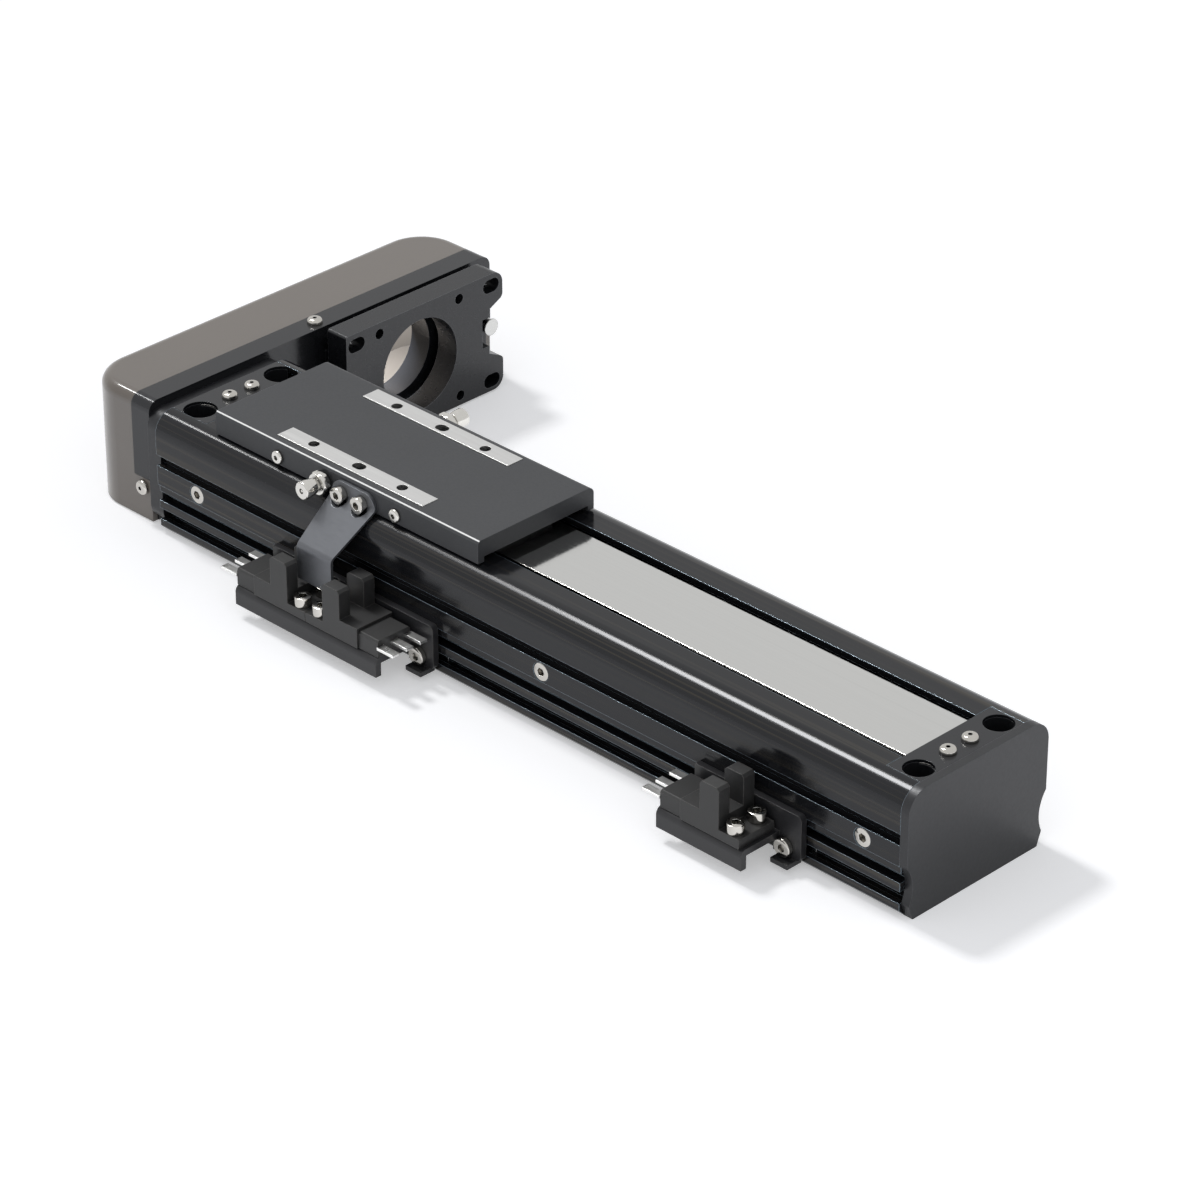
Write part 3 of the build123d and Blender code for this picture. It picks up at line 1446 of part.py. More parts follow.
# Sensor brackets: sheet bent into a back, a shelf and a lip, with an arm at the T-slot
shelf_edge_y = sensor_y - sensor_width / 2 - bracket_lip_gap
bracket_back_y = band_half + bracket_sheet / 2
bracket_screw_xs = []
for name, shelf_rear, shelf_front, tabs in (
    (
        "rear_sensor_bracket",
        sensor_pair_x - sensor_pair_gap / 2 - station_length,
        sensor_pair_x + sensor_pair_gap / 2 + station_length,
        (
            sensor_pair_x - sensor_pair_gap / 2 - sensor_tab_length / 2,
            sensor_pair_x + sensor_pair_gap / 2 + sensor_tab_length / 2,
        ),
    ),
    (
        "front_sensor_bracket",
        front_sensor_x - station_length - bracket_margin,
        front_sensor_x + 2 * bracket_margin,
        (front_sensor_x - sensor_tab_length / 2,),
    ),
):
    with BuildPart() as sensor_bracket:
        with BuildSketch(x_plane(shelf_rear)):
            with BuildLine():
                FilletPolyline(
                    (-bracket_back_y, bracket_top),
                    (-bracket_back_y, sensor_floor_z - bracket_sheet / 2),
                    (shelf_edge_y + bracket_sheet / 2, sensor_floor_z - bracket_sheet / 2),
                    (shelf_edge_y + bracket_sheet / 2, bracket_lip_bottom),
                    radius=bracket_bend,
                )
            trace(line_width=bracket_sheet)
        extrude(amount=shelf_front - shelf_rear)
        with BuildSketch(side_plane(-1, shelf_front, band_half, 0)) as arm_outline:
            with Locations((bracket_arm / 2 - bracket_bend, (bracket_top + bracket_bottom) / 2)):
                Rectangle(bracket_arm + 2 * bracket_bend, bracket_top - bracket_bottom)
            fillet(arm_outline.vertices().group_by(Axis.X)[-1], radius=bracket_corner)
        extrude(amount=bracket_sheet)
        with BuildSketch(
            side_plane(
                -1,
                shelf_front + bracket_foot_width / 2,
                band_half,
                bracket_bottom - bracket_foot_sheet / 2,
            )
        ):
            Rectangle(bracket_foot_width, bracket_foot_sheet)
        extrude(amount=bracket_foot_reach)
        with Locations(
            side_plane(
                -1,
                shelf_front + bracket_arm - bracket_screw_inset,
                band_half + bracket_sheet,
                t_slot_z,
            )
        ):
            Hole(radius=m3_radius + seat_gap, depth=bracket_sheet)
        with Locations(*[(tab_x, sensor_y, sensor_floor_z) for tab_x in tabs]):
            with GridLocations(1, sensor_screw_pitch, 1, 2):
                Hole(radius=m3_radius + seat_gap, depth=bracket_sheet)
    sensor_bracket.part.label = name
    export_step(sensor_bracket.part, f"parts/{name}.step")
    bracket_screw_xs.append(shelf_front + bracket_arm - bracket_screw_inset)

bracket_screw = cap_screw(
    m3_radius,
    bracket_sheet + band_half - side_half + t_slot_lip + t_nut_thickness,
    m3_head_radius,
    bracket_screw_head,
)
with BuildPart() as bracket_screws:
    for screw_x in bracket_screw_xs:
        with Locations(side_plane(-1, screw_x, band_half + bracket_sheet, t_slot_z)):
            add(bracket_screw)
bracket_screws.part.label = "bracket_screws"
export_step(bracket_screws.part, "parts/bracket_screws.step")

with BuildPart() as bracket_t_nuts:
    for screw_x in bracket_screw_xs:
        with BuildSketch(side_plane(-1, screw_x, side_half - t_slot_lip, t_slot_z)):
            Rectangle(t_nut_length, t_slot_inner - 2 * t_nut_gap)
            Circle(m3_radius + seat_gap, mode=Mode.SUBTRACT)
        extrude(amount=-t_nut_thickness)
bracket_t_nuts.part.label = "bracket_t_nuts"
export_step(bracket_t_nuts.part, "parts/bracket_t_nuts.step")
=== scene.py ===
"""Looks of the ball screw linear actuator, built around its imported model."""
import math

import bmesh
import bpy
from mathutils import Euler, Matrix, Vector


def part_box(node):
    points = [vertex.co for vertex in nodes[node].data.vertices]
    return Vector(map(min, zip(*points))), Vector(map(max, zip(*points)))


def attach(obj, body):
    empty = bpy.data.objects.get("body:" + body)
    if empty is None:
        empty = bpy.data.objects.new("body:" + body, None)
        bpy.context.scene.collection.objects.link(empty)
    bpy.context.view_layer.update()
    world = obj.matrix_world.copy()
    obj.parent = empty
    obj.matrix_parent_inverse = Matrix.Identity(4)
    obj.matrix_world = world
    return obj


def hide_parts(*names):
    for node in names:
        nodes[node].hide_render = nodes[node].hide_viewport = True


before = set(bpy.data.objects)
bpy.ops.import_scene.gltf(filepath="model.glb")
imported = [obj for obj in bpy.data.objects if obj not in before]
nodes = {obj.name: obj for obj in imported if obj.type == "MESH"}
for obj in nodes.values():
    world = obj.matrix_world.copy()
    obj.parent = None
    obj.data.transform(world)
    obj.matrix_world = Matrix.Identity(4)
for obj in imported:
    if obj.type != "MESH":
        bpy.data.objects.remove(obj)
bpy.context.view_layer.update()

# Camera: a long lens from the sensor side's front corner, a little above, fitted
# to the edges of the body in the photograph. The camera and the lamps are placed
# in metres, and the sizes of all pieces below are in millimetres.
camera_place = (0.85493, -0.84916, 0.72099)
camera_height_angle = 30.04
camera_side_angle = 44.83
camera_data = bpy.data.cameras.new("studio_camera")
camera_data.lens = 152.82
camera_data.sensor_width = 36.0
camera_data.clip_end = 20.0
camera = bpy.data.objects.new("studio_camera", camera_data)
camera.location = camera_place
camera.rotation_euler = Euler(
    (math.radians(90 - camera_height_angle), 0, math.radians(camera_side_angle))
)
bpy.context.scene.collection.objects.link(camera)
bpy.context.scene.camera = camera
bpy.context.scene.view_settings.view_transform = "Standard"


# Floor and room: a white paper sweep that the actuator stands on, lit by a tall
# lamp behind the belt housing. Two strip boxes hang behind it too, a long one and
# a short one, and draw bright lines along the rounded edges.
def linear(hex_colour, gain=1.0):
    """An sRGB hex value as the linear colour that a shader takes."""
    channels = [int(hex_colour[i : i + 2], 16) / 255 for i in (1, 3, 5)]
    return tuple(
        gain * (c / 12.92 if c <= 0.04045 else ((c + 0.055) / 1.055) ** 2.4)
        for c in channels
    ) + (1.0,)


def add_node(tree, kind, inputs=None, **settings):
    """Adds a node with its settings; an input is a value or another node's output."""
    node = tree.nodes.new(kind)
    for name, value in settings.items():
        setattr(node, name, value)
    for name, value in (inputs or {}).items():
        if isinstance(value, bpy.types.NodeSocket):
            tree.links.new(value, node.inputs[name])
        else:
            node.inputs[name].default_value = value
    return node


def empty_material(name):
    """A material with only its output, its node tree and that output's socket."""
    material = bpy.data.materials.new(name)
    material.use_nodes = True
    tree = material.node_tree
    tree.nodes.clear()
    return material, tree, add_node(tree, "ShaderNodeOutputMaterial").inputs["Surface"]


# The paper glows a little, but only to the camera and in reflections, so that it
# is white with pale shadows and doesn't light the actuator from below.
paper_tint = linear("#f2f2f3")
paper_roughness = 0.9
paper_glow_strength = 0.35
plain_white = (1, 1, 1, 1)
paper, paper_tree, paper_surface = empty_material("white_paper_sweep")
paper_diffuse = add_node(
    paper_tree,
    "ShaderNodeBsdfDiffuse",
    {"Color": paper_tint, "Roughness": paper_roughness},
)
paper_glow = add_node(
    paper_tree,
    "ShaderNodeEmission",
    {"Color": plain_white, "Strength": paper_glow_strength},
)
paper_rays = add_node(paper_tree, "ShaderNodeLightPath")
paper_seen = add_node(
    paper_tree,
    "ShaderNodeMath",
    {0: paper_rays.outputs["Is Camera Ray"], 1: paper_rays.outputs["Is Glossy Ray"]},
    operation="MAXIMUM",
)
paper_glow_share = add_node(
    paper_tree,
    "ShaderNodeMixShader",
    {"Fac": paper_seen.outputs["Value"], 2: paper_glow.outputs["Emission"]},
)
paper_sum = add_node(
    paper_tree,
    "ShaderNodeAddShader",
    {0: paper_diffuse.outputs["BSDF"], 1: paper_glow_share.outputs["Shader"]},
)
paper_tree.links.new(paper_sum.outputs["Shader"], paper_surface)

floor_half = 3.0
floor_mesh = bpy.data.meshes.new("floor")
floor_mesh.from_pydata(
    [
        (-floor_half, -floor_half, 0),
        (floor_half, -floor_half, 0),
        (floor_half, floor_half, 0),
        (-floor_half, floor_half, 0),
    ],
    [],
    [(0, 1, 2, 3)],
)
floor_mesh.materials.append(paper)
floor = bpy.data.objects.new("floor", floor_mesh)
bpy.context.scene.collection.objects.link(floor)

# The room is a brighter white to the camera and in reflections than it lights.
room_tint = linear("#f4f6fa")
room_light_strength = 0.55
room_seen_strength = 0.8
room = bpy.data.worlds.new("studio_room")
room.use_nodes = True
room_tree = room.node_tree
room_tree.nodes.clear()
room_output = add_node(room_tree, "ShaderNodeOutputWorld")
room_rays = add_node(room_tree, "ShaderNodeLightPath")
room_seen = add_node(
    room_tree,
    "ShaderNodeMath",
    {0: room_rays.outputs["Is Camera Ray"], 1: room_rays.outputs["Is Glossy Ray"]},
    operation="MAXIMUM",
)
room_soft = add_node(
    room_tree,
    "ShaderNodeBackground",
    {"Color": room_tint, "Strength": room_light_strength},
)
room_white = add_node(
    room_tree,
    "ShaderNodeBackground",
    {"Color": plain_white, "Strength": room_seen_strength},
)
room_mix = add_node(
    room_tree,
    "ShaderNodeMixShader",
    {
        "Fac": room_seen.outputs["Value"],
        1: room_soft.outputs["Background"],
        2: room_white.outputs["Background"],
    },
)
room_tree.links.new(room_mix.outputs["Shader"], room_output.inputs["Surface"])
bpy.context.scene.world = room


def stand_lamp(
    name,
    kind,
    energy,
    place,
    target=(0, 0, 0.02),
    glossy=True,
    diffuse=True,
    **settings,
):
    """Stands a lamp at a place and turns it to its target.

    A lamp that isn't glossy lights surfaces without showing in reflections, and
    one that isn't diffuse shows in reflections alone.
    """
    data = bpy.data.lights.new(name, kind)
    data.energy = energy
    for setting, value in settings.items():
        setattr(data, setting, value)
    lamp = bpy.data.objects.new(name, data)
    lamp.location = place
    aim = Vector(target) - Vector(place)
    lamp.rotation_euler = aim.to_track_quat("-Z", "Y").to_euler()
    lamp.visible_glossy = glossy
    lamp.visible_diffuse = diffuse
    bpy.context.scene.collection.objects.link(lamp)


tall_lamp_strength = 1.8
tall_lamp_place = (-0.90, 0.03, 1.33)
tall_lamp_spread = math.radians(9)
stand_lamp(
    "tall_lamp",
    "SUN",
    tall_lamp_strength,
    tall_lamp_place,
    glossy=False,
    angle=tall_lamp_spread,
)
# The strip boxes look straight down; a hair's tilt keeps their length along
# the travel.
strip_box_y = -0.03
strip_box_z = 1.30
strip_box_tilt = 0.001
for box_name, box_x, box_length, box_width, box_energy in (
    ("long_strip_box", -0.72, 0.54, 0.42, 15.0),
    ("short_strip_box", -1.315, 0.11, 0.16, 2.2),
):
    stand_lamp(
        box_name,
        "AREA",
        box_energy,
        (box_x, strip_box_y, strip_box_z),
        (box_x, strip_box_y + strip_box_tilt, 0),
        diffuse=False,
        shape="RECTANGLE",
        size=box_length,
        size_y=box_width,
    )
# A small lamp in the belt cover lights the inner wall that shows through the
# motor bore, as stray light does in the photograph.
cover_light_power = 0.15
cover_light_place = (-0.157, 0.072, 0.030)
cover_light_target = (-0.176, 0.066, 0.016)
cover_light_tint = (0.80, 0.89, 1.0)
stand_lamp(
    "light_in_cover",
    "AREA",
    cover_light_power,
    cover_light_place,
    cover_light_target,
    glossy=False,
    color=cover_light_tint,
    shape="RECTANGLE",
    size=0.05,
    size_y=0.012,
)


# Base and side covers: extruded aluminium, anodised black. The die leaves fine
# lines along the travel. The edges are painted a cold grey as a highlight, and
# brown streaks along the lines are painted reflections.
relief_height = 0.1
edge_samples = 6
noise_low, noise_high = 0.3, 0.7


def fine_lines(tree, place, line_along, line_across, detail):
    """Lines along the travel in a piece's own place, as long and wide as given."""
    stretch = add_node(
        tree,
        "ShaderNodeMapping",
        {
            "Vector": place.outputs["Object"],
            "Scale": (1000 / line_along, 1000 / line_across, 1000 / line_across),
        },
    )
    lines = add_node(
        tree,
        "ShaderNodeTexNoise",
        {"Vector": stretch.outputs["Vector"], "Scale": 1.0, "Detail": detail},
    )
    return lines.outputs["Fac"]


def painted_edge_share(tree, rounding, most, first_turn=0.995, full_turn=0.9):
    """How much a point is painted as an edge highlight or shade: not at all on a face,
    the most on its edges.

    A turn is the cosine between the rounded normal and the face's own.
    """
    plain = add_node(tree, "ShaderNodeNewGeometry")
    turn = add_node(
        tree,
        "ShaderNodeVectorMath",
        {0: rounding.outputs["Normal"], 1: plain.outputs["Normal"]},
        operation="DOT_PRODUCT",
    )
    share = add_node(
        tree,
        "ShaderNodeMapRange",
        {
            "Value": turn.outputs["Value"],
            "From Min": first_turn,
            "From Max": full_turn,
            "To Min": 0.0,
            "To Max": most,
        },
    )
    return share.outputs["Result"]


def coated_metal(
    name,
    tint,
    roughness,
    line_along,
    line_across,
    relief,
    painted_edge_tint,
    metallic=0.35,
    edge_width=0.25,
    edge_paint_most=0.55,
    reflection_streak_tint=None,
    painted_highlight_cut=None,
    gloss_level=0.5,
):
    """Metal under a thin dark coat; lengths of its lines and edges in millimetres.

    Real die lines and blasted grain are about 0.1 mm wide, which is too fine to
    show, so they are drawn several times as coarse. The edge tint is a painted
    highlight along the edges, and the streak tint paints reflections as streaks
    along the lines. The highlight cut is a direction and a height: above it,
    faces that way are painted white as a highlight.
    """
    cloud_size, cloud_gain = 28.57, 1.25
    smoother, rougher = 0.04, 0.05
    coat_index = 1.6
    material, tree, surface_socket = empty_material(name)
    place = add_node(tree, "ShaderNodeTexCoord")
    lines = fine_lines(tree, place, line_along, line_across, detail=3.0)
    cloud = add_node(
        tree,
        "ShaderNodeTexNoise",
        {"Vector": place.outputs["Object"], "Scale": 1000 / cloud_size, "Detail": 2.0},
    )
    shine = add_node(
        tree,
        "ShaderNodeMapRange",
        {
            "Value": lines,
            "From Min": noise_low,
            "From Max": noise_high,
            "To Min": roughness - smoother,
            "To Max": roughness + rougher,
        },
    )
    rounding = add_node(
        tree, "ShaderNodeBevel", {"Radius": edge_width / 1000}, samples=edge_samples
    )
    edge_paint_share = painted_edge_share(tree, rounding, edge_paint_most)
    shade = add_node(
        tree,
        "ShaderNodeMix",
        {
            "Factor": cloud.outputs["Fac"],
            "A": linear(tint),
            "B": linear(tint, cloud_gain),
        },
        data_type="RGBA",
    )
    colour = shade.outputs["Result"]
    # Brown streaks along the die lines are painted reflections.
    if reflection_streak_tint:
        streak_start, streak_full, streak_most = 0.54, 0.70, 0.6
        streak = add_node(
            tree,
            "ShaderNodeMapRange",
            {
                "Value": lines,
                "From Min": streak_start,
                "From Max": streak_full,
                "To Min": 0.0,
                "To Max": streak_most,
            },
        )
        streaked = add_node(
            tree,
            "ShaderNodeMix",
            {
                "Factor": streak.outputs["Result"],
                "A": colour,
                "B": linear(reflection_streak_tint),
            },
            data_type="RGBA",
        )
        colour = streaked.outputs["Result"]
    edge_painted = add_node(
        tree,
        "ShaderNodeMix",
        {"Factor": edge_paint_share, "A": colour, "B": linear(painted_edge_tint)},
        data_type="RGBA",
    )
    colour = edge_painted.outputs["Result"]
    # The cut paints a white highlight on faces that look the given way, above the
    # given height.
    if painted_highlight_cut:
        cut_direction, cut_height = painted_highlight_cut
        highlight_white = linear("#f4f4f2")
        within_cut = 0.9
        tilt = add_node(
            tree,
            "ShaderNodeVectorMath",
            {0: place.outputs["Normal"], 1: cut_direction},
            operation="DOT_PRODUCT",
        )
        level = add_node(
            tree, "ShaderNodeSeparateXYZ", {"Vector": place.outputs["Object"]}
        )
        high = add_node(
            tree,
            "ShaderNodeMath",
            {0: level.outputs["Z"], 1: cut_height / 1000},
            operation="GREATER_THAN",
        )
        tilted = add_node(
            tree,
            "ShaderNodeMath",
            {0: tilt.outputs["Value"], 1: within_cut},
            operation="GREATER_THAN",
        )
        cut = add_node(
            tree,
            "ShaderNodeMath",
            {0: high.outputs["Value"], 1: tilted.outputs["Value"]},
            operation="MULTIPLY",
        )
        highlight_painted = add_node(
            tree,
            "ShaderNodeMix",
            {"Factor": cut.outputs["Value"], "A": colour, "B": highlight_white},
            data_type="RGBA",
        )
        colour = highlight_painted.outputs["Result"]
    bump = add_node(
        tree,
        "ShaderNodeBump",
        {
            "Strength": relief,
            "Distance": relief_height / 1000,
            "Height": lines,
            "Normal": rounding.outputs["Normal"],
        },
    )
    surface = add_node(
        tree,
        "ShaderNodeBsdfPrincipled",
        {
            "Base Color": colour,
            "Metallic": metallic,
            "Roughness": shine.outputs["Result"],
            "IOR": coat_index,
            "Specular IOR Level": gloss_level,
            "Normal": bump.outputs["Normal"],
        },
    )
    tree.links.new(surface.outputs["BSDF"], surface_socket)
    return material


def dress(material, *names):
    """Gives a material to CAD nodes as they stand."""
    for name in names:
        nodes[name].data.materials.clear()
        nodes[name].data.materials.append(material)


extrusion_black = coated_metal(
    "black_anodised_extrusion",
    tint="#1c1d20",
    roughness=0.15,
    line_along=260,
    line_across=0.9,
    relief=0.06,
    painted_edge_tint="#8fa0ac",
    edge_width=0.28,
    edge_paint_most=0.9,
    reflection_streak_tint="#454036",
    gloss_level=0.36,
)
dress(extrusion_black, "base_extrusion", "side_cover_near", "side_cover_far")

# End plates and end blocks: milled aluminium, blasted fine and anodised black,
# so they shine less than the extrusions. The strip holders and the belt
# housing's plate are polished before they are anodised, and mirror the room.
# The edges of plates, blocks, holders and the housing's plate are painted a lighter
# grey as a highlight.
plate_black = coated_metal(
    "black_anodised_plate",
    tint="#222326",
    roughness=0.38,
    line_along=0.9,
    line_across=0.9,
    relief=0.18,
    painted_edge_tint="#5e6165",
    edge_width=0.18,
)
dress(plate_black, "front_end_plate", "rear_end_plate", "front_block", "rear_block")
holder_black = coated_metal(
    "black_anodised_polished_plate",
    tint="#222326",
    roughness=0.18,
    line_along=0.9,
    line_across=0.9,
    relief=0.05,
    painted_edge_tint="#5e6165",
    edge_width=0.15,
)
dress(holder_black, "front_strip_holder", "rear_strip_holder", "housing_plate")


# Cover strip: stainless steel, rolled to half a millimetre. It keeps fine
# lines along the travel, and a white highlight is painted along its rolled edges.
def bright_metal(
    name,
    tint,
    roughness,
    line_along,
    line_across,
    relief,
    edge_width=0.2,
    painted_rim_tint=None,
    painted_shade_tint=None,
):
    """A bare metal with fine lines, given as lengths in millimetres.

    Real marks of rolling, grinding and turning are too fine to show, so they are
    drawn several times as coarse. A rim tint paints a highlight along the edges,
    and a recess tint paints shade into sockets, seats and other recesses.
    """
    groove_gain = 0.92
    smoother, rougher = 0.04, 0.06
    material, tree, surface_socket = empty_material(name)
    place = add_node(tree, "ShaderNodeTexCoord")
    lines = fine_lines(tree, place, line_along, line_across, detail=4.0)
    shine = add_node(
        tree,
        "ShaderNodeMapRange",
        {
            "Value": lines,
            "From Min": noise_low,
            "From Max": noise_high,
            "To Min": roughness - smoother,
            "To Max": roughness + rougher,
        },
    )
    shade = add_node(
        tree,
        "ShaderNodeMix",
        {"Factor": lines, "A": linear(tint, groove_gain), "B": linear(tint)},
        data_type="RGBA",
    )
    colour = shade.outputs["Result"]
    rounding = add_node(
        tree, "ShaderNodeBevel", {"Radius": edge_width / 1000}, samples=edge_samples
    )
    # The rim tint paints a highlight along the edges.
    if painted_rim_tint:
        rim_paint_share = painted_edge_share(tree, rounding, 1.0, first_turn=0.999, full_turn=0.93)
        rim_painted = add_node(
            tree,
            "ShaderNodeMix",
            {"Factor": rim_paint_share, "A": colour, "B": linear(painted_rim_tint)},
            data_type="RGBA",
        )
        colour = rim_painted.outputs["Result"]
    # Sockets, seats and other recesses are painted dark as shade, the more the closer
    # things stand around them.
    if painted_shade_tint:
        shade_reach = 1.2
        sheltered, open_air = 0.35, 0.8
        occlusion = add_node(
            tree,
            "ShaderNodeAmbientOcclusion",
            {"Distance": shade_reach / 1000},
            samples=8,
        )
        shade_share = add_node(
            tree,
            "ShaderNodeMapRange",
            {
                "Value": occlusion.outputs["AO"],
                "From Min": sheltered,
                "From Max": open_air,
                "To Min": 1.0,
                "To Max": 0.0,
            },
        )
        shade_painted = add_node(
            tree,
            "ShaderNodeMix",
            {
                "Factor": shade_share.outputs["Result"],
                "A": colour,
                "B": linear(painted_shade_tint),
            },
            data_type="RGBA",
        )
        colour = shade_painted.outputs["Result"]
    bump = add_node(
        tree,
        "ShaderNodeBump",
        {
            "Strength": relief,
            "Distance": relief_height / 1000,
            "Height": lines,
            "Normal": rounding.outputs["Normal"],
        },
    )
    surface = add_node(
        tree,
        "ShaderNodeBsdfPrincipled",
        {
            "Base Color": colour,
            "Metallic": 1.0,
            "Roughness": shine.outputs["Result"],
            "Normal": bump.outputs["Normal"],
        },
    )
    tree.links.new(surface.outputs["BSDF"], surface_socket)
    return material


strip_steel = bright_metal(
    "rolled_stainless_strip",
    tint="#d6d6d4",
    roughness=0.09,
    line_along=300,
    line_across=0.8,
    relief=0.015,
    edge_width=0.4,
    painted_rim_tint="#f6f4ef",
)
dress(strip_steel, "cover_strip")


# Socket screws: steel, nickel plated to a bright, warm shine, each turned to its
# own angle. One set of nodes turns the head and shank and broaches the socket.
def start_shape(name, start, sizes):
    """Starts geometry nodes that take a start mesh, sizes in metres and a finish.

    It returns the tree, its inputs, and by name a point's place and the sizes.
    """
    tree = bpy.data.node_groups.new(name, "GeometryNodeTree")
    for socket, kind in (
        (start, "NodeSocketGeometry"),
        *((size, "NodeSocketFloat") for size in sizes),
        ("Finish", "NodeSocketMaterial"),
    ):
        tree.interface.new_socket(socket, in_out="INPUT", socket_type=kind)
    tree.interface.new_socket(
        "Finished", in_out="OUTPUT", socket_type="NodeSocketGeometry"
    )
    given = add_node(tree, "NodeGroupInput").outputs
    position = add_node(tree, "GeometryNodeInputPosition").outputs["Position"]
    point = add_node(tree, "ShaderNodeSeparateXYZ", {"Vector": position}).outputs
    sums = {"x": point["X"], "y": point["Y"], "z": point["Z"]}
    for size in sizes:
        sums[size] = given[size]
    return tree, given, sums


def finish_shape(tree, given, shape):
    """Makes the shape real, gives it its finish and hands it out."""
    real = add_node(tree, "GeometryNodeRealizeInstances", {"Geometry": shape})
    finished = add_node(
        tree,
        "GeometryNodeSetMaterial",
        {"Geometry": real.outputs["Geometry"], "Material": given["Finish"]},
    )
    add_node(tree, "NodeGroupOutput", {"Finished": finished.outputs["Geometry"]})
    return tree


def screw_nodes():
    """Geometry nodes that set one screw on each point, along its 'facing'."""
    sizes = (
        "Head radius",
        "Head height",
        "Head rounding",
        "Shank radius",
        "Shank length",
        "Socket radius",
        "Socket depth",
    )
    head_sides, head_rings, shank_sides, socket_sides = 36, 14, 24, 6
    tree, given, sums = start_shape("socket_screw", "Seats", sizes)

    def upright(radius, depth, middle, sides, rings=1):
        """A closed bar about Z, its middle at the given height."""
        bar = add_node(
            tree,
            "GeometryNodeMeshCylinder",
            {
                "Vertices": sides,
                "Side Segments": rings,
                "Radius": radius,
                "Depth": depth,
            },
        )
        rise = add_node(tree, "ShaderNodeCombineXYZ", {"Z": middle})
        return add_node(
            tree,
            "GeometryNodeTransform",
            {"Geometry": bar.outputs["Mesh"], "Translation": rise.outputs["Vector"]},
        ).outputs["Geometry"]

    # The dome is a quarter turn from the flank to the crown, drawn in as it rises.
    for result, operation, first, second in (
        ("middle", "MULTIPLY", "Head height", 0.5),
        ("flank", "SUBTRACT", "Head height", "Head rounding"),
        ("above flank", "SUBTRACT", "z", "flank"),
        ("part way", "DIVIDE", "above flank", "Head rounding"),
        ("share", "MAXIMUM", "part way", 0.0),
        ("turn", "MULTIPLY", "share", math.pi / 2),
        ("sine", "SINE", "turn", 0.0),
        ("swell", "SUBTRACT", "sine", "share"),
        ("rise", "MULTIPLY", "swell", "Head rounding"),
        ("cosine", "COSINE", "turn", 0.0),
        ("fall", "SUBTRACT", 1.0, "cosine"),
        ("draw in", "MULTIPLY", "fall", "Head rounding"),
        ("drawn share", "DIVIDE", "draw in", "Head radius"),
        ("narrowing", "SUBTRACT", 1.0, "drawn share"),
        ("new x", "MULTIPLY", "x", "narrowing"),
        ("new y", "MULTIPLY", "y", "narrowing"),
        ("new z", "ADD", "z", "rise"),
        ("overlap", "MULTIPLY", "Head height", 0.1),
        ("shank bar", "ADD", "Shank length", "overlap"),
        ("shank drop", "SUBTRACT", "overlap", "Shank length"),
        ("shank middle", "MULTIPLY", "shank drop", 0.5),
        ("socket bar", "MULTIPLY", "Socket depth", 2.0),
    ):
        terms = {0: sums.get(first, first), 1: sums.get(second, second)}
        step = add_node(tree, "ShaderNodeMath", terms, operation=operation)
        sums[result] = step.outputs["Value"]
    blank = upright(
        given["Head radius"],
        given["Head height"],
        sums["middle"],
        head_sides,
        head_rings,
    )
    new_point = add_node(
        tree,
        "ShaderNodeCombineXYZ",
        {"X": sums["new x"], "Y": sums["new y"], "Z": sums["new z"]},
    )
    head = add_node(
        tree,
        "GeometryNodeSetPosition",
        {"Geometry": blank, "Position": new_point.outputs["Vector"]},
    )
    shank = upright(
        given["Shank radius"], sums["shank bar"], sums["shank middle"], shank_sides
    )
    socket = upright(
        given["Socket radius"], sums["socket bar"], given["Head height"], socket_sides
    )
    joined = add_node(tree, "GeometryNodeMeshBoolean", operation="UNION")
    tree.links.new(head.outputs["Geometry"], joined.inputs["Mesh 2"])
    tree.links.new(shank, joined.inputs["Mesh 2"])
    broached = add_node(
        tree,
        "GeometryNodeMeshBoolean",
        {"Mesh 1": joined.outputs["Mesh"], "Mesh 2": socket},
        operation="DIFFERENCE",
    )
    facing = add_node(
        tree,
        "GeometryNodeInputNamedAttribute",
        {"Name": "facing"},
        data_type="FLOAT_VECTOR",
    )
    along = add_node(
        tree,
        "FunctionNodeAlignRotationToVector",
        {"Vector": facing.outputs["Attribute"]},
        axis="Z",
    )
    stop_angle = add_node(
        tree,
        "FunctionNodeRandomValue",
        {"Min": 0.0, "Max": math.pi / 3, "Seed": 7},
        data_type="FLOAT",
    )
    stop = add_node(
        tree, "ShaderNodeCombineXYZ", {"Z": stop_angle.outputs["Value"]}
    )
    stop_turn = add_node(
        tree, "FunctionNodeEulerToRotation", {"Euler": stop.outputs["Vector"]}
    )
    turned = add_node(
        tree,
        "FunctionNodeRotateRotation",
        {
            "Rotation": along.outputs["Rotation"],
            "Rotate By": stop_turn.outputs["Rotation"],
        },
        rotation_space="LOCAL",
    )
    placed = add_node(
        tree,
        "GeometryNodeInstanceOnPoints",
        {
            "Points": given["Seats"],
            "Instance": broached.outputs["Mesh"],
            "Rotation": turned.outputs["Rotation"],
        },
    )
    return finish_shape(tree, given, placed.outputs["Instances"])


socket_screw = screw_nodes()
screw_crease = 40


def grow(name, tree, values, mesh, crease_angle):
    """Runs a node tree on a mesh and keeps the result as a plain piece."""
    piece = bpy.data.objects.new(name, mesh)
    bpy.context.scene.collection.objects.link(piece)
    modifier = piece.modifiers.new(name, "NODES")
    modifier.node_group = tree
    for item in tree.interface.items_tree:
        if item.in_out == "INPUT" and item.name in values:
            modifier[item.identifier] = values[item.name]
    evaluated = piece.evaluated_get(bpy.context.evaluated_depsgraph_get())
    grown = bpy.data.meshes.new_from_object(evaluated)
    piece.modifiers.clear()
    piece.data = grown
    grown.name = name
    grown.shade_smooth()
    grown.set_sharp_from_angle(angle=math.radians(crease_angle))
    return piece


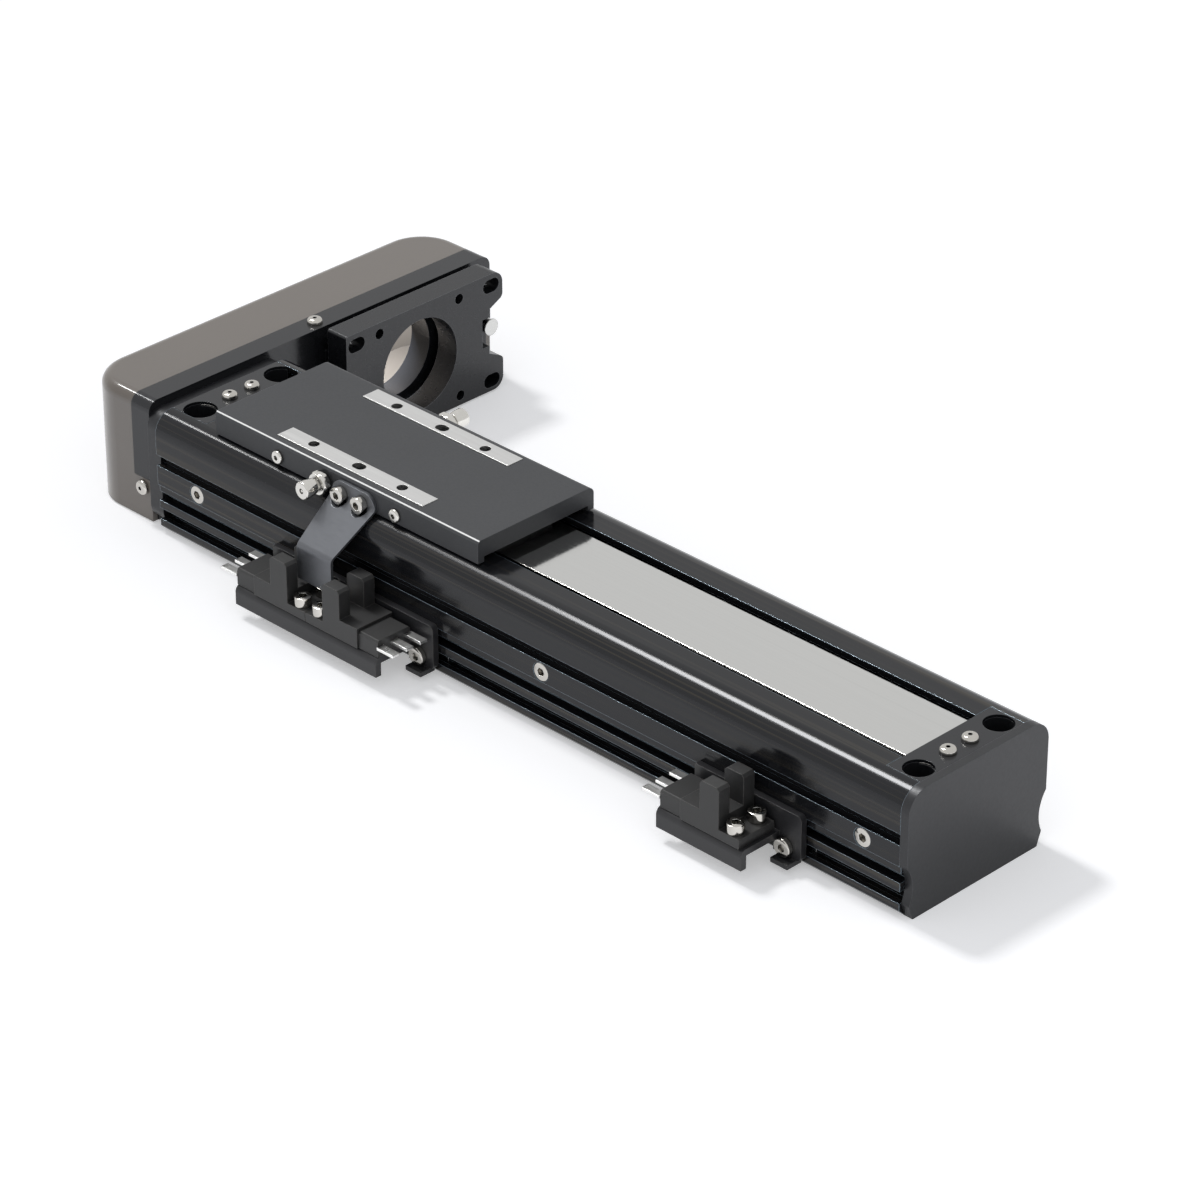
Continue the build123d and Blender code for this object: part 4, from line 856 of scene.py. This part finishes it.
def set_screws(name, node, body, finish, seats, sizes):
    """Sets screws on their seats, each a place and a facing, in millimetres."""
    mesh = bpy.data.meshes.new(name)
    mesh.from_pydata([Vector(place) / 1000 for place, facing in seats], [], [])
    attribute = mesh.attributes.new("facing", "FLOAT_VECTOR", "POINT")
    for row, (place, facing) in zip(attribute.data, seats):
        row.vector = facing
    values = {size: value / 1000 for size, value in sizes.items()}
    values["Finish"] = finish
    piece = grow(name, socket_screw, values, mesh, screw_crease)
    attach(piece, body)
    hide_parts(node)


def span_of(node):
    """A CAD node's lowest corner, middle and highest corner, in millimetres."""
    low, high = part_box(node)
    return {"low": 1000 * low, "middle": 500 * (low + high), "high": 1000 * high}


def end_rows(span, head):
    """Where the rearmost and the foremost head of like screws stand in X."""
    return span["low"].x + head["Head radius"], span["high"].x - head["Head radius"]


# Their head rims are painted a highlight, and their sockets and seats are painted dark
# as shade.
screw_nickel = bright_metal(
    "nickel_plated_screw",
    tint="#cbc8c2",
    roughness=0.12,
    line_along=1.5,
    line_across=1.5,
    relief=0.03,
    edge_width=0.15,
    painted_rim_tint="#efeeea",
    painted_shade_tint="#15130f",
)
up, near, far, rear, front = (0, 0, 1), (0, -1, 0), (0, 1, 0), (-1, 0, 0), (1, 0, 0)
m3_shank = 1.5
m25_shank = 1.25
domed_head = {
    "Head radius": 2.35,
    "Head height": 1.6,
    "Head rounding": 1.1,
    "Socket radius": 0.7,
    "Socket depth": 0.8,
}
holder_top = span_of("front_strip_holder")["high"].z
rear_clamps, front_clamps = end_rows(span_of("strip_screws"), domed_head)
clamp_spread = 4.25
set_screws(
    "strip_clamp_screws",
    "strip_screws",
    "base",
    screw_nickel,
    [
        ((x, y, holder_top), up)
        for x in (front_clamps, rear_clamps)
        for y in (-clamp_spread, clamp_spread)
    ],
    {**domed_head, "Shank radius": m25_shank, "Shank length": 4.4},
)
sunk_head = {
    "Head radius": 2.75,
    "Head height": 3.0,
    "Head rounding": 0.3,
    "Shank radius": m3_shank,
    "Socket radius": 1.35,
    "Socket depth": 1.6,
}
wall_span = span_of("wall_screws")
wall_seat = wall_span["high"].y - sunk_head["Head height"]
rear_wall_row, front_wall_row = end_rows(wall_span, sunk_head)
middle_wall_row = 15.0
set_screws(
    "side_wall_screws",
    "wall_screws",
    "base",
    screw_nickel,
    [
        ((x, side[1] * wall_seat, wall_span["middle"].z), side)
        for x in (front_wall_row, rear_wall_row, middle_wall_row)
        for side in (near, far)
    ],
    {**sunk_head, "Shank length": 6.9},
)
screw_span = span_of("ball_screw")
screw_line = screw_span["middle"].z
housing_seat = span_of("housing_screws")["low"].x + sunk_head["Head height"]
housing_screw_side = 7.5
housing_screw_rise = 11.0
set_screws(
    "housing_plate_screws",
    "housing_screws",
    "base",
    screw_nickel,
    [
        ((housing_seat, y, screw_line + z), rear)
        for y in (-housing_screw_side, housing_screw_side)
        for z in (-housing_screw_rise, housing_screw_rise)
    ],
    {**sunk_head, "Shank length": 19.1},
)


# Belt cover: a thin moulded shell of warm grey plastic, lacquered, which gives
# it a clear shine along its rounds. It is screwed to the housing at three sides.
def moulded_plastic(
    name,
    tint,
    roughness,
    grain,
    relief,
    painted_edge_tint,
    edge_width=0.3,
    gloss_level=0.5,
    lacquer=0.0,
):
    """Moulded plastic or rubber; the mould's grain is given in millimetres.

    The real grain is too fine to show, so it is drawn several times as coarse.
    The edge tint is painted on the edges, as a highlight where it is lighter and
    as shade where it is darker.
    """
    flow_size, flow_low, flow_high = 45.45, 0.94, 1.08
    smoother, rougher = 0.03, 0.04
    edge_paint_most = 0.6
    plastic_index = 1.5
    lacquer_roughness = 0.05
    material, tree, surface_socket = empty_material(name)
    place = add_node(tree, "ShaderNodeTexCoord")
    pores = add_node(
        tree,
        "ShaderNodeTexNoise",
        {"Vector": place.outputs["Object"], "Scale": 1000 / grain, "Detail": 3.0},
    )
    flow = add_node(
        tree,
        "ShaderNodeTexNoise",
        {"Vector": place.outputs["Object"], "Scale": 1000 / flow_size, "Detail": 2.0},
    )
    shine = add_node(
        tree,
        "ShaderNodeMapRange",
        {
            "Value": flow.outputs["Fac"],
            "From Min": noise_low,
            "From Max": noise_high,
            "To Min": roughness - smoother,
            "To Max": roughness + rougher,
        },
    )
    rounding = add_node(
        tree, "ShaderNodeBevel", {"Radius": edge_width / 1000}, samples=edge_samples
    )
    edge_paint_share = painted_edge_share(tree, rounding, edge_paint_most)
    shade = add_node(
        tree,
        "ShaderNodeMix",
        {
            "Factor": flow.outputs["Fac"],
            "A": linear(tint, flow_low),
            "B": linear(tint, flow_high),
        },
        data_type="RGBA",
    )
    edged = add_node(
        tree,
        "ShaderNodeMix",
        {
            "Factor": edge_paint_share,
            "A": shade.outputs["Result"],
            "B": linear(painted_edge_tint),
        },
        data_type="RGBA",
    )
    bump = add_node(
        tree,
        "ShaderNodeBump",
        {
            "Strength": relief,
            "Distance": relief_height / 1000,
            "Height": pores.outputs["Fac"],
            "Normal": rounding.outputs["Normal"],
        },
    )
    surface = add_node(
        tree,
        "ShaderNodeBsdfPrincipled",
        {
            "Base Color": edged.outputs["Result"],
            "Roughness": shine.outputs["Result"],
            "IOR": plastic_index,
            "Specular IOR Level": gloss_level,
            "Coat Weight": lacquer,
            "Coat Roughness": lacquer_roughness,
            "Normal": bump.outputs["Normal"],
        },
    )
    tree.links.new(surface.outputs["BSDF"], surface_socket)
    return material


# Its edges are painted a darker grey as shade, an outline.
cover_grey = moulded_plastic(
    "lacquered_cover_plastic",
    tint="#5d554d",
    roughness=0.30,
    grain=0.5,
    relief=0.03,
    painted_edge_tint="#35312e",
    edge_width=0.5,
    lacquer=0.7,
)
dress(cover_grey, "belt_cover")
cover_span = span_of("belt_cover")
cover_screw_x = span_of("cover_screws")["middle"].x
cover_side_height = 10.6
cover_top_y = 43.5
set_screws(
    "belt_cover_screws",
    "cover_screws",
    "base",
    screw_nickel,
    [
        ((cover_screw_x, cover_span["low"].y, cover_side_height), near),
        ((cover_screw_x, cover_span["high"].y, cover_side_height), far),
        ((cover_screw_x, cover_top_y, cover_span["high"].z), up),
    ],
    {**domed_head, "Shank radius": m3_shank, "Shank length": 6.8},
)

# Motor plate: milled aluminium, blasted and anodised to an even satin black, with
# a turned pilot bore. It slides on the housing plate's rest pads, and a steel
# post, turned to a soft shine, stands in its notch.
# Its edges are painted a light grey as a highlight.
motor_plate_black = coated_metal(
    "black_anodised_motor_plate",
    tint="#1d1e21",
    roughness=0.30,
    line_along=0.9,
    line_across=0.9,
    relief=0.04,
    painted_edge_tint="#9b9ea2",
    edge_width=0.2,
)
dress(motor_plate_black, "motor_plate")
turned_sides = 48
turned_crease = 28


def turn_piece(name, node, body, finish, rings, place, facing):
    """Turns a piece from rings of run, radius and width across flats or none."""
    points = []
    steps = turned_sides
    for run, radius, across_flats in rings:
        for step in range(steps):
            angle = 2 * math.pi * step / steps
            reach = radius
            if across_flats:
                from_flat = angle % (math.pi / 3) - math.pi / 6
                reach = min(radius, across_flats / 2 / math.cos(from_flat))
            points.append(
                (
                    reach * math.cos(angle) / 1000,
                    reach * math.sin(angle) / 1000,
                    run / 1000,
                )
            )
    faces = [tuple(reversed(range(steps)))]
    for ring in range(len(rings) - 1):
        for step in range(steps):
            beside = (step + 1) % steps
            faces.append(
                (
                    ring * steps + step,
                    ring * steps + beside,
                    (ring + 1) * steps + beside,
                    (ring + 1) * steps + step,
                )
            )
    faces.append(tuple(range(len(points) - steps, len(points))))
    mesh = bpy.data.meshes.new(name)
    mesh.from_pydata(points, [], faces)
    to_facing = Vector(facing).to_track_quat("Z", "Y").to_matrix().to_4x4()
    mesh.transform(Matrix.Translation(Vector(place) / 1000) @ to_facing)
    mesh.materials.append(finish)
    mesh.shade_smooth()
    mesh.set_sharp_from_angle(angle=math.radians(turned_crease))
    piece = bpy.data.objects.new(name, mesh)
    bpy.context.scene.collection.objects.link(piece)
    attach(piece, body)
    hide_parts(node)


post_steel = bright_metal(
    "turned_steel_post",
    tint="#c9c9c7",
    roughness=0.26,
    line_along=0.3,
    line_across=3.0,
    relief=0.06,
    edge_width=0.15,
)
post_span = span_of("tension_post")
post_foot = (post_span["low"].x, post_span["middle"].y, post_span["middle"].z)
post_rings = (
    (0.0, 2.3, None),
    (18.75, 2.3, None),
    (18.75, 2.6, None),
    (18.85, 2.75, None),
    (19.1, 2.75, None),
    (19.2, 2.6, None),
)
turn_piece(
    "belt_tension_post",
    "tension_post",
    "base",
    post_steel,
    post_rings,
    post_foot,
    front,
)

# Ball screw: hardened steel, the ball track ground into it with a lead of
# 10 mm. The journals at its ends are ground plain.
ground_steel = bright_metal(
    "hardened_ground_steel",
    tint="#a9aaab",
    roughness=0.18,
    line_along=0.4,
    line_across=60,
    relief=0.05,
)


def thread_nodes():
    """Geometry nodes for a bar along Z with one helical ball track."""
    sizes = ("Radius", "Length", "Lead", "Track width", "Track depth")
    bar_sides, bar_rings = 60, 512
    turns_above_zero = 100.0
    tree, given, sums = start_shape("ball_track", "Blank", sizes)
    bar = add_node(
        tree,
        "GeometryNodeMeshCylinder",
        {
            "Vertices": bar_sides,
            "Side Segments": bar_rings,
            "Radius": given["Radius"],
            "Depth": given["Length"],
        },
    )
    # A point's distance from the helix, as a share of half the track's width,
    # gives the depth of the round groove there.
    for result, operation, first, second in (
        ("angle", "ARCTAN2", "y", "x"),
        ("turns", "DIVIDE", "angle", 2 * math.pi),
        ("run", "DIVIDE", "z", "Lead"),
        ("run above zero", "ADD", "run", turns_above_zero),
        ("past helix", "SUBTRACT", "run above zero", "turns"),
        ("phase", "FRACT", "past helix", 0.0),
        ("from middle", "SUBTRACT", "phase", 0.5),
        ("distance", "ABSOLUTE", "from middle", 0.0),
        ("away", "MULTIPLY", "distance", "Lead"),
        ("half width", "MULTIPLY", "Track width", 0.5),
        ("reach", "DIVIDE", "away", "half width"),
        ("reach squared", "MULTIPLY", "reach", "reach"),
        ("left over", "SUBTRACT", 1.0, "reach squared"),
        ("inside", "MAXIMUM", "left over", 0.0),
        ("roundness", "SQRT", "inside", 0.0),
        ("cut", "MULTIPLY", "roundness", "Track depth"),
        ("cut share", "DIVIDE", "cut", "Radius"),
        ("narrowing", "SUBTRACT", 1.0, "cut share"),
        ("new x", "MULTIPLY", "x", "narrowing"),
        ("new y", "MULTIPLY", "y", "narrowing"),
    ):
        terms = {0: sums.get(first, first), 1: sums.get(second, second)}
        step = add_node(tree, "ShaderNodeMath", terms, operation=operation)
        sums[result] = step.outputs["Value"]
    new_point = add_node(
        tree,
        "ShaderNodeCombineXYZ",
        {"X": sums["new x"], "Y": sums["new y"], "Z": sums["z"]},
    )
    ground = add_node(
        tree,
        "GeometryNodeSetPosition",
        {"Geometry": bar.outputs["Mesh"], "Position": new_point.outputs["Vector"]},
    )
    return finish_shape(tree, given, ground.outputs["Geometry"])


thread_start = -129.85
thread_end = 126.75
thread_sizes = {
    "Radius": screw_span["high"].y,
    "Length": thread_end - thread_start,
    "Lead": 10.0,
    "Track width": 3.4,
    "Track depth": 0.9,
}
thread_values = {size: value / 1000 for size, value in thread_sizes.items()}
thread_values["Finish"] = ground_steel
thread_crease = 50
thread_piece = grow(
    "ball_screw_thread",
    thread_nodes(),
    thread_values,
    bpy.data.meshes.new("ball_screw_blank"),
    thread_crease,
)
along_travel = Matrix.Rotation(math.radians(90), 4, "Y")
thread_middle = Vector(((thread_start + thread_end) / 2, 0, screw_line)) / 1000
thread_piece.data.transform(Matrix.Translation(thread_middle) @ along_travel)
bearing_shoulder = -146.85
end_radius = 3.0
bearing_radius = 4.0
journals = bmesh.new()
journals.from_mesh(thread_piece.data)
for start, end, radius in (
    (screw_span["low"].x, bearing_shoulder, end_radius),
    (bearing_shoulder, thread_start, bearing_radius),
    (thread_end, screw_span["high"].x, end_radius),
):
    middle = Vector(((start + end) / 2, 0, screw_line)) / 1000
    bmesh.ops.create_cone(
        journals,
        cap_ends=True,
        segments=turned_sides,
        radius1=radius / 1000,
        radius2=radius / 1000,
        depth=(end - start) / 1000,
        matrix=Matrix.Translation(middle) @ along_travel,
    )
for face in journals.faces:
    face.smooth = True
journals.to_mesh(thread_piece.data)
journals.free()
thread_piece.data.set_sharp_from_angle(angle=math.radians(thread_crease))
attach(thread_piece, "screw")
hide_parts("ball_screw")

# Ball nut, nut block, raceways, bearings and square nuts: hardened steel, ground
# to a grey shine. The pulley is turned aluminium, and the screws are plated.
dress(
    ground_steel,
    "ball_nut",
    "nut_block",
    "raceway_near",
    "raceway_far",
    "front_bearing",
    "rear_bearings",
    "bearing_lock_nut",
    "bracket_t_nuts",
)
pulley_alloy = bright_metal(
    "turned_aluminium_pulley",
    tint="#c2c3c6",
    roughness=0.32,
    line_along=0.5,
    line_across=8,
    relief=0.1,
)
dress(pulley_alloy, "driven_pulley")
dress(screw_nickel, "pulley_set_screws", "ball_nut_screws", "table_screws")

# Bumpers are dull black rubber. The return caps and the strip guides are moulded
# from slippery acetal, which has a waxy, even shine.
# The edges of bumpers, caps and guides are painted a lighter tint as a highlight.
stop_rubber = moulded_plastic(
    "black_stop_rubber",
    tint="#1b1b1b",
    roughness=0.75,
    grain=0.3,
    relief=0.4,
    painted_edge_tint="#2a2a2a",
    gloss_level=0.3,
)
dress(stop_rubber, "front_bumper", "rear_bumper")
black_acetal = moulded_plastic(
    "black_acetal",
    tint="#191a1b",
    roughness=0.42,
    grain=0.6,
    relief=0.1,
    painted_edge_tint="#3c3d3e",
)
dress(black_acetal, "return_caps", "strip_guides")

# Carriage table: milled aluminium, bead blasted and anodised black, a shade
# lighter than the body. A white highlight is painted along its near top edge,
# and its other edges are painted a lighter grey as a highlight.
near_slope = (0, -0.7071, 0.7071)
painted_highlight_height = 45.5
table_black = coated_metal(
    "black_anodised_table",
    tint="#3d3e40",
    roughness=0.42,
    line_along=0.7,
    line_across=0.7,
    relief=0.14,
    painted_edge_tint="#77797c",
    metallic=0.1,
    edge_width=0.2,
    painted_highlight_cut=(near_slope, painted_highlight_height),
    gloss_level=0.2,
)
dress(table_black, "carriage_table")

# Mounting pads: ground steel strips let into the table, brushed along the travel,
# which draws their shine out into long soft lines. Their edges are painted a
# white highlight.
pad_steel = bright_metal(
    "ground_steel_pad",
    tint="#d2d2d1",
    roughness=0.34,
    line_along=40,
    line_across=0.5,
    relief=0.08,
    edge_width=0.15,
    painted_rim_tint="#e8e8e6",
)
dress(pad_steel, "carriage_pad_near", "carriage_pad_far")

# Side plugs and grease nipples: turned brass, nickel plated bright. A plug has
# a low round head, and a nipple a hexagon, a neck and a barrel with its ball.
# Its sockets and recesses are painted dark as shade.
plug_nickel = bright_metal(
    "bright_nickel_fitting",
    tint="#dbd9d4",
    roughness=0.16,
    line_along=0.8,
    line_across=0.8,
    relief=0.03,
    edge_width=0.15,
    painted_shade_tint="#1c1a16",
)
table_side = span_of("carriage_table")["high"].y
nipple_middle = span_of("grease_nipple_near")["middle"]
plug_sizes = {
    "Head radius": 2.1,
    "Head height": 1.1,
    "Head rounding": 0.7,
    "Shank radius": 1.8,
    "Shank length": 2.2,
    "Socket radius": 0.8,
    "Socket depth": 0.5,
}
set_screws(
    "side_port_plugs",
    "carriage_plugs",
    "carriage",
    plug_nickel,
    [
        ((x, side[1] * table_side, nipple_middle.z), side)
        for x in end_rows(span_of("carriage_plugs"), plug_sizes)
        for side in (near, far)
    ],
    plug_sizes,
)
nipple_rings = (
    (-2.2, 1.8, None),
    (0.0, 1.8, None),
    (0.0, 2.56, None),
    (0.8, 2.56, None),
    (0.8, 3.1, 6.4),
    (1.3, 3.6, 6.4),
    (2.9, 3.6, 6.4),
    (3.4, 3.1, 6.4),
    (3.4, 1.9, None),
    (3.6, 1.9, None),
    (4.3, 1.9, None),
    (4.6, 2.3, None),
    (6.6, 2.65, None),
    (8.4, 2.75, None),
    (8.8, 2.6, None),
    (9.0, 2.3, None),
    (9.0, 0.8, None),
    (8.6, 0.7, None),
    (8.65, 0.6, None),
    (8.85, 0.3, None),
)
for nipple_name, nipple_node, nipple_side in (
    ("greasing_nipple_near", "grease_nipple_near", near),
    ("greasing_nipple_far", "grease_nipple_far", far),
):
    turn_piece(
        nipple_name,
        nipple_node,
        "carriage",
        plug_nickel,
        nipple_rings,
        (nipple_middle.x, nipple_side[1] * table_side, nipple_middle.z),
        nipple_side,
    )

# Sensor flag: steel sheet, folded and blackened to a satin, held by two
# socket screws.
# Its edges are painted a lighter grey as a highlight.
flag_black = coated_metal(
    "blackened_steel_flag",
    tint="#66686c",
    roughness=0.42,
    line_along=3.0,
    line_across=0.8,
    relief=0.08,
    painted_edge_tint="#9a9da1",
    metallic=0.7,
    edge_width=0.2,
)
dress(flag_black, "sensor_flag")
flag_screw_sizes = {
    "Head radius": 2.5,
    "Head height": 2.4,
    "Head rounding": 0.35,
    "Shank radius": m25_shank,
    "Shank length": 3.2,
    "Socket radius": 1.25,
    "Socket depth": 1.2,
}
flag_span = span_of("flag_screws")
flag_seat = flag_span["low"].y + flag_screw_sizes["Head height"]
set_screws(
    "sensor_flag_screws",
    "flag_screws",
    "carriage",
    screw_nickel,
    [
        ((x, flag_seat, flag_span["middle"].z), near)
        for x in end_rows(flag_span, flag_screw_sizes)
    ],
    flag_screw_sizes,
)

# Slot sensors: moulded in dark grey polyester with a dull, finely grained skin,
# with a plug block of the same behind each. Their blades are tin plated, and pale.
# Their edges are painted a lighter grey as a highlight.
sensor_grey = moulded_plastic(
    "dark_grey_sensor_plastic",
    tint="#2b2b2b",
    roughness=0.45,
    grain=0.4,
    relief=0.12,
    painted_edge_tint="#5c5b57",
)
dress(
    sensor_grey,
    "rear_limit_sensor",
    "home_sensor",
    "front_limit_sensor",
    "sensor_sockets",
)
blade_tin = bright_metal(
    "tin_plated_blade",
    tint="#fafaf8",
    roughness=0.3,
    line_along=5.0,
    line_across=5.0,
    relief=0.0,
    edge_width=0.3,
)
dress(blade_tin, "sensor_terminal_blades")
sensor_screw_sizes = {
    "Head radius": 2.5,
    "Head height": 3.0,
    "Head rounding": 0.35,
    "Shank radius": m3_shank,
    "Shank length": 4.7,
    "Socket radius": 1.25,
    "Socket depth": 1.5,
}
sensor_span = span_of("sensor_screws")
sensor_seat = sensor_span["high"].z - sensor_screw_sizes["Head height"]
rear_limit_row, front_limit_row = end_rows(sensor_span, sensor_screw_sizes)
home_row = -57.7
sensor_screw_spread = 4.0
set_screws(
    "sensor_fixing_screws",
    "sensor_screws",
    "base",
    screw_nickel,
    [
        ((x, sensor_span["middle"].y + y, sensor_seat), up)
        for x in (rear_limit_row, home_row, front_limit_row)
        for y in (-sensor_screw_spread, sensor_screw_spread)
    ],
    sensor_screw_sizes,
)

# Sensor brackets: steel sheet, folded and powder coated an even, faintly pebbled
# black, each held in the T-slot by a low-headed screw and a square nut.
# Their edges are painted a lighter grey as a highlight.
bracket_black = coated_metal(
    "powder_coated_bracket",
    tint="#2a2a2c",
    roughness=0.36,
    line_along=0.5,
    line_across=0.5,
    relief=0.12,
    painted_edge_tint="#5b5a55",
    metallic=0.1,
    edge_width=0.2,
    gloss_level=0.36,
)
dress(bracket_black, "rear_sensor_bracket", "front_sensor_bracket")
bracket_screw_sizes = {
    "Head radius": 2.75,
    "Head height": 1.8,
    "Head rounding": 0.3,
    "Shank radius": m3_shank,
    "Shank length": 6.7,
    "Socket radius": 1.3,
    "Socket depth": 0.9,
}
bracket_span = span_of("bracket_screws")
bracket_seat = bracket_span["low"].y + bracket_screw_sizes["Head height"]
set_screws(
    "bracket_fixing_screws",
    "bracket_screws",
    "base",
    screw_nickel,
    [
        ((x, bracket_seat, bracket_span["middle"].z), near)
        for x in end_rows(bracket_span, bracket_screw_sizes)
    ],
    bracket_screw_sizes,
)
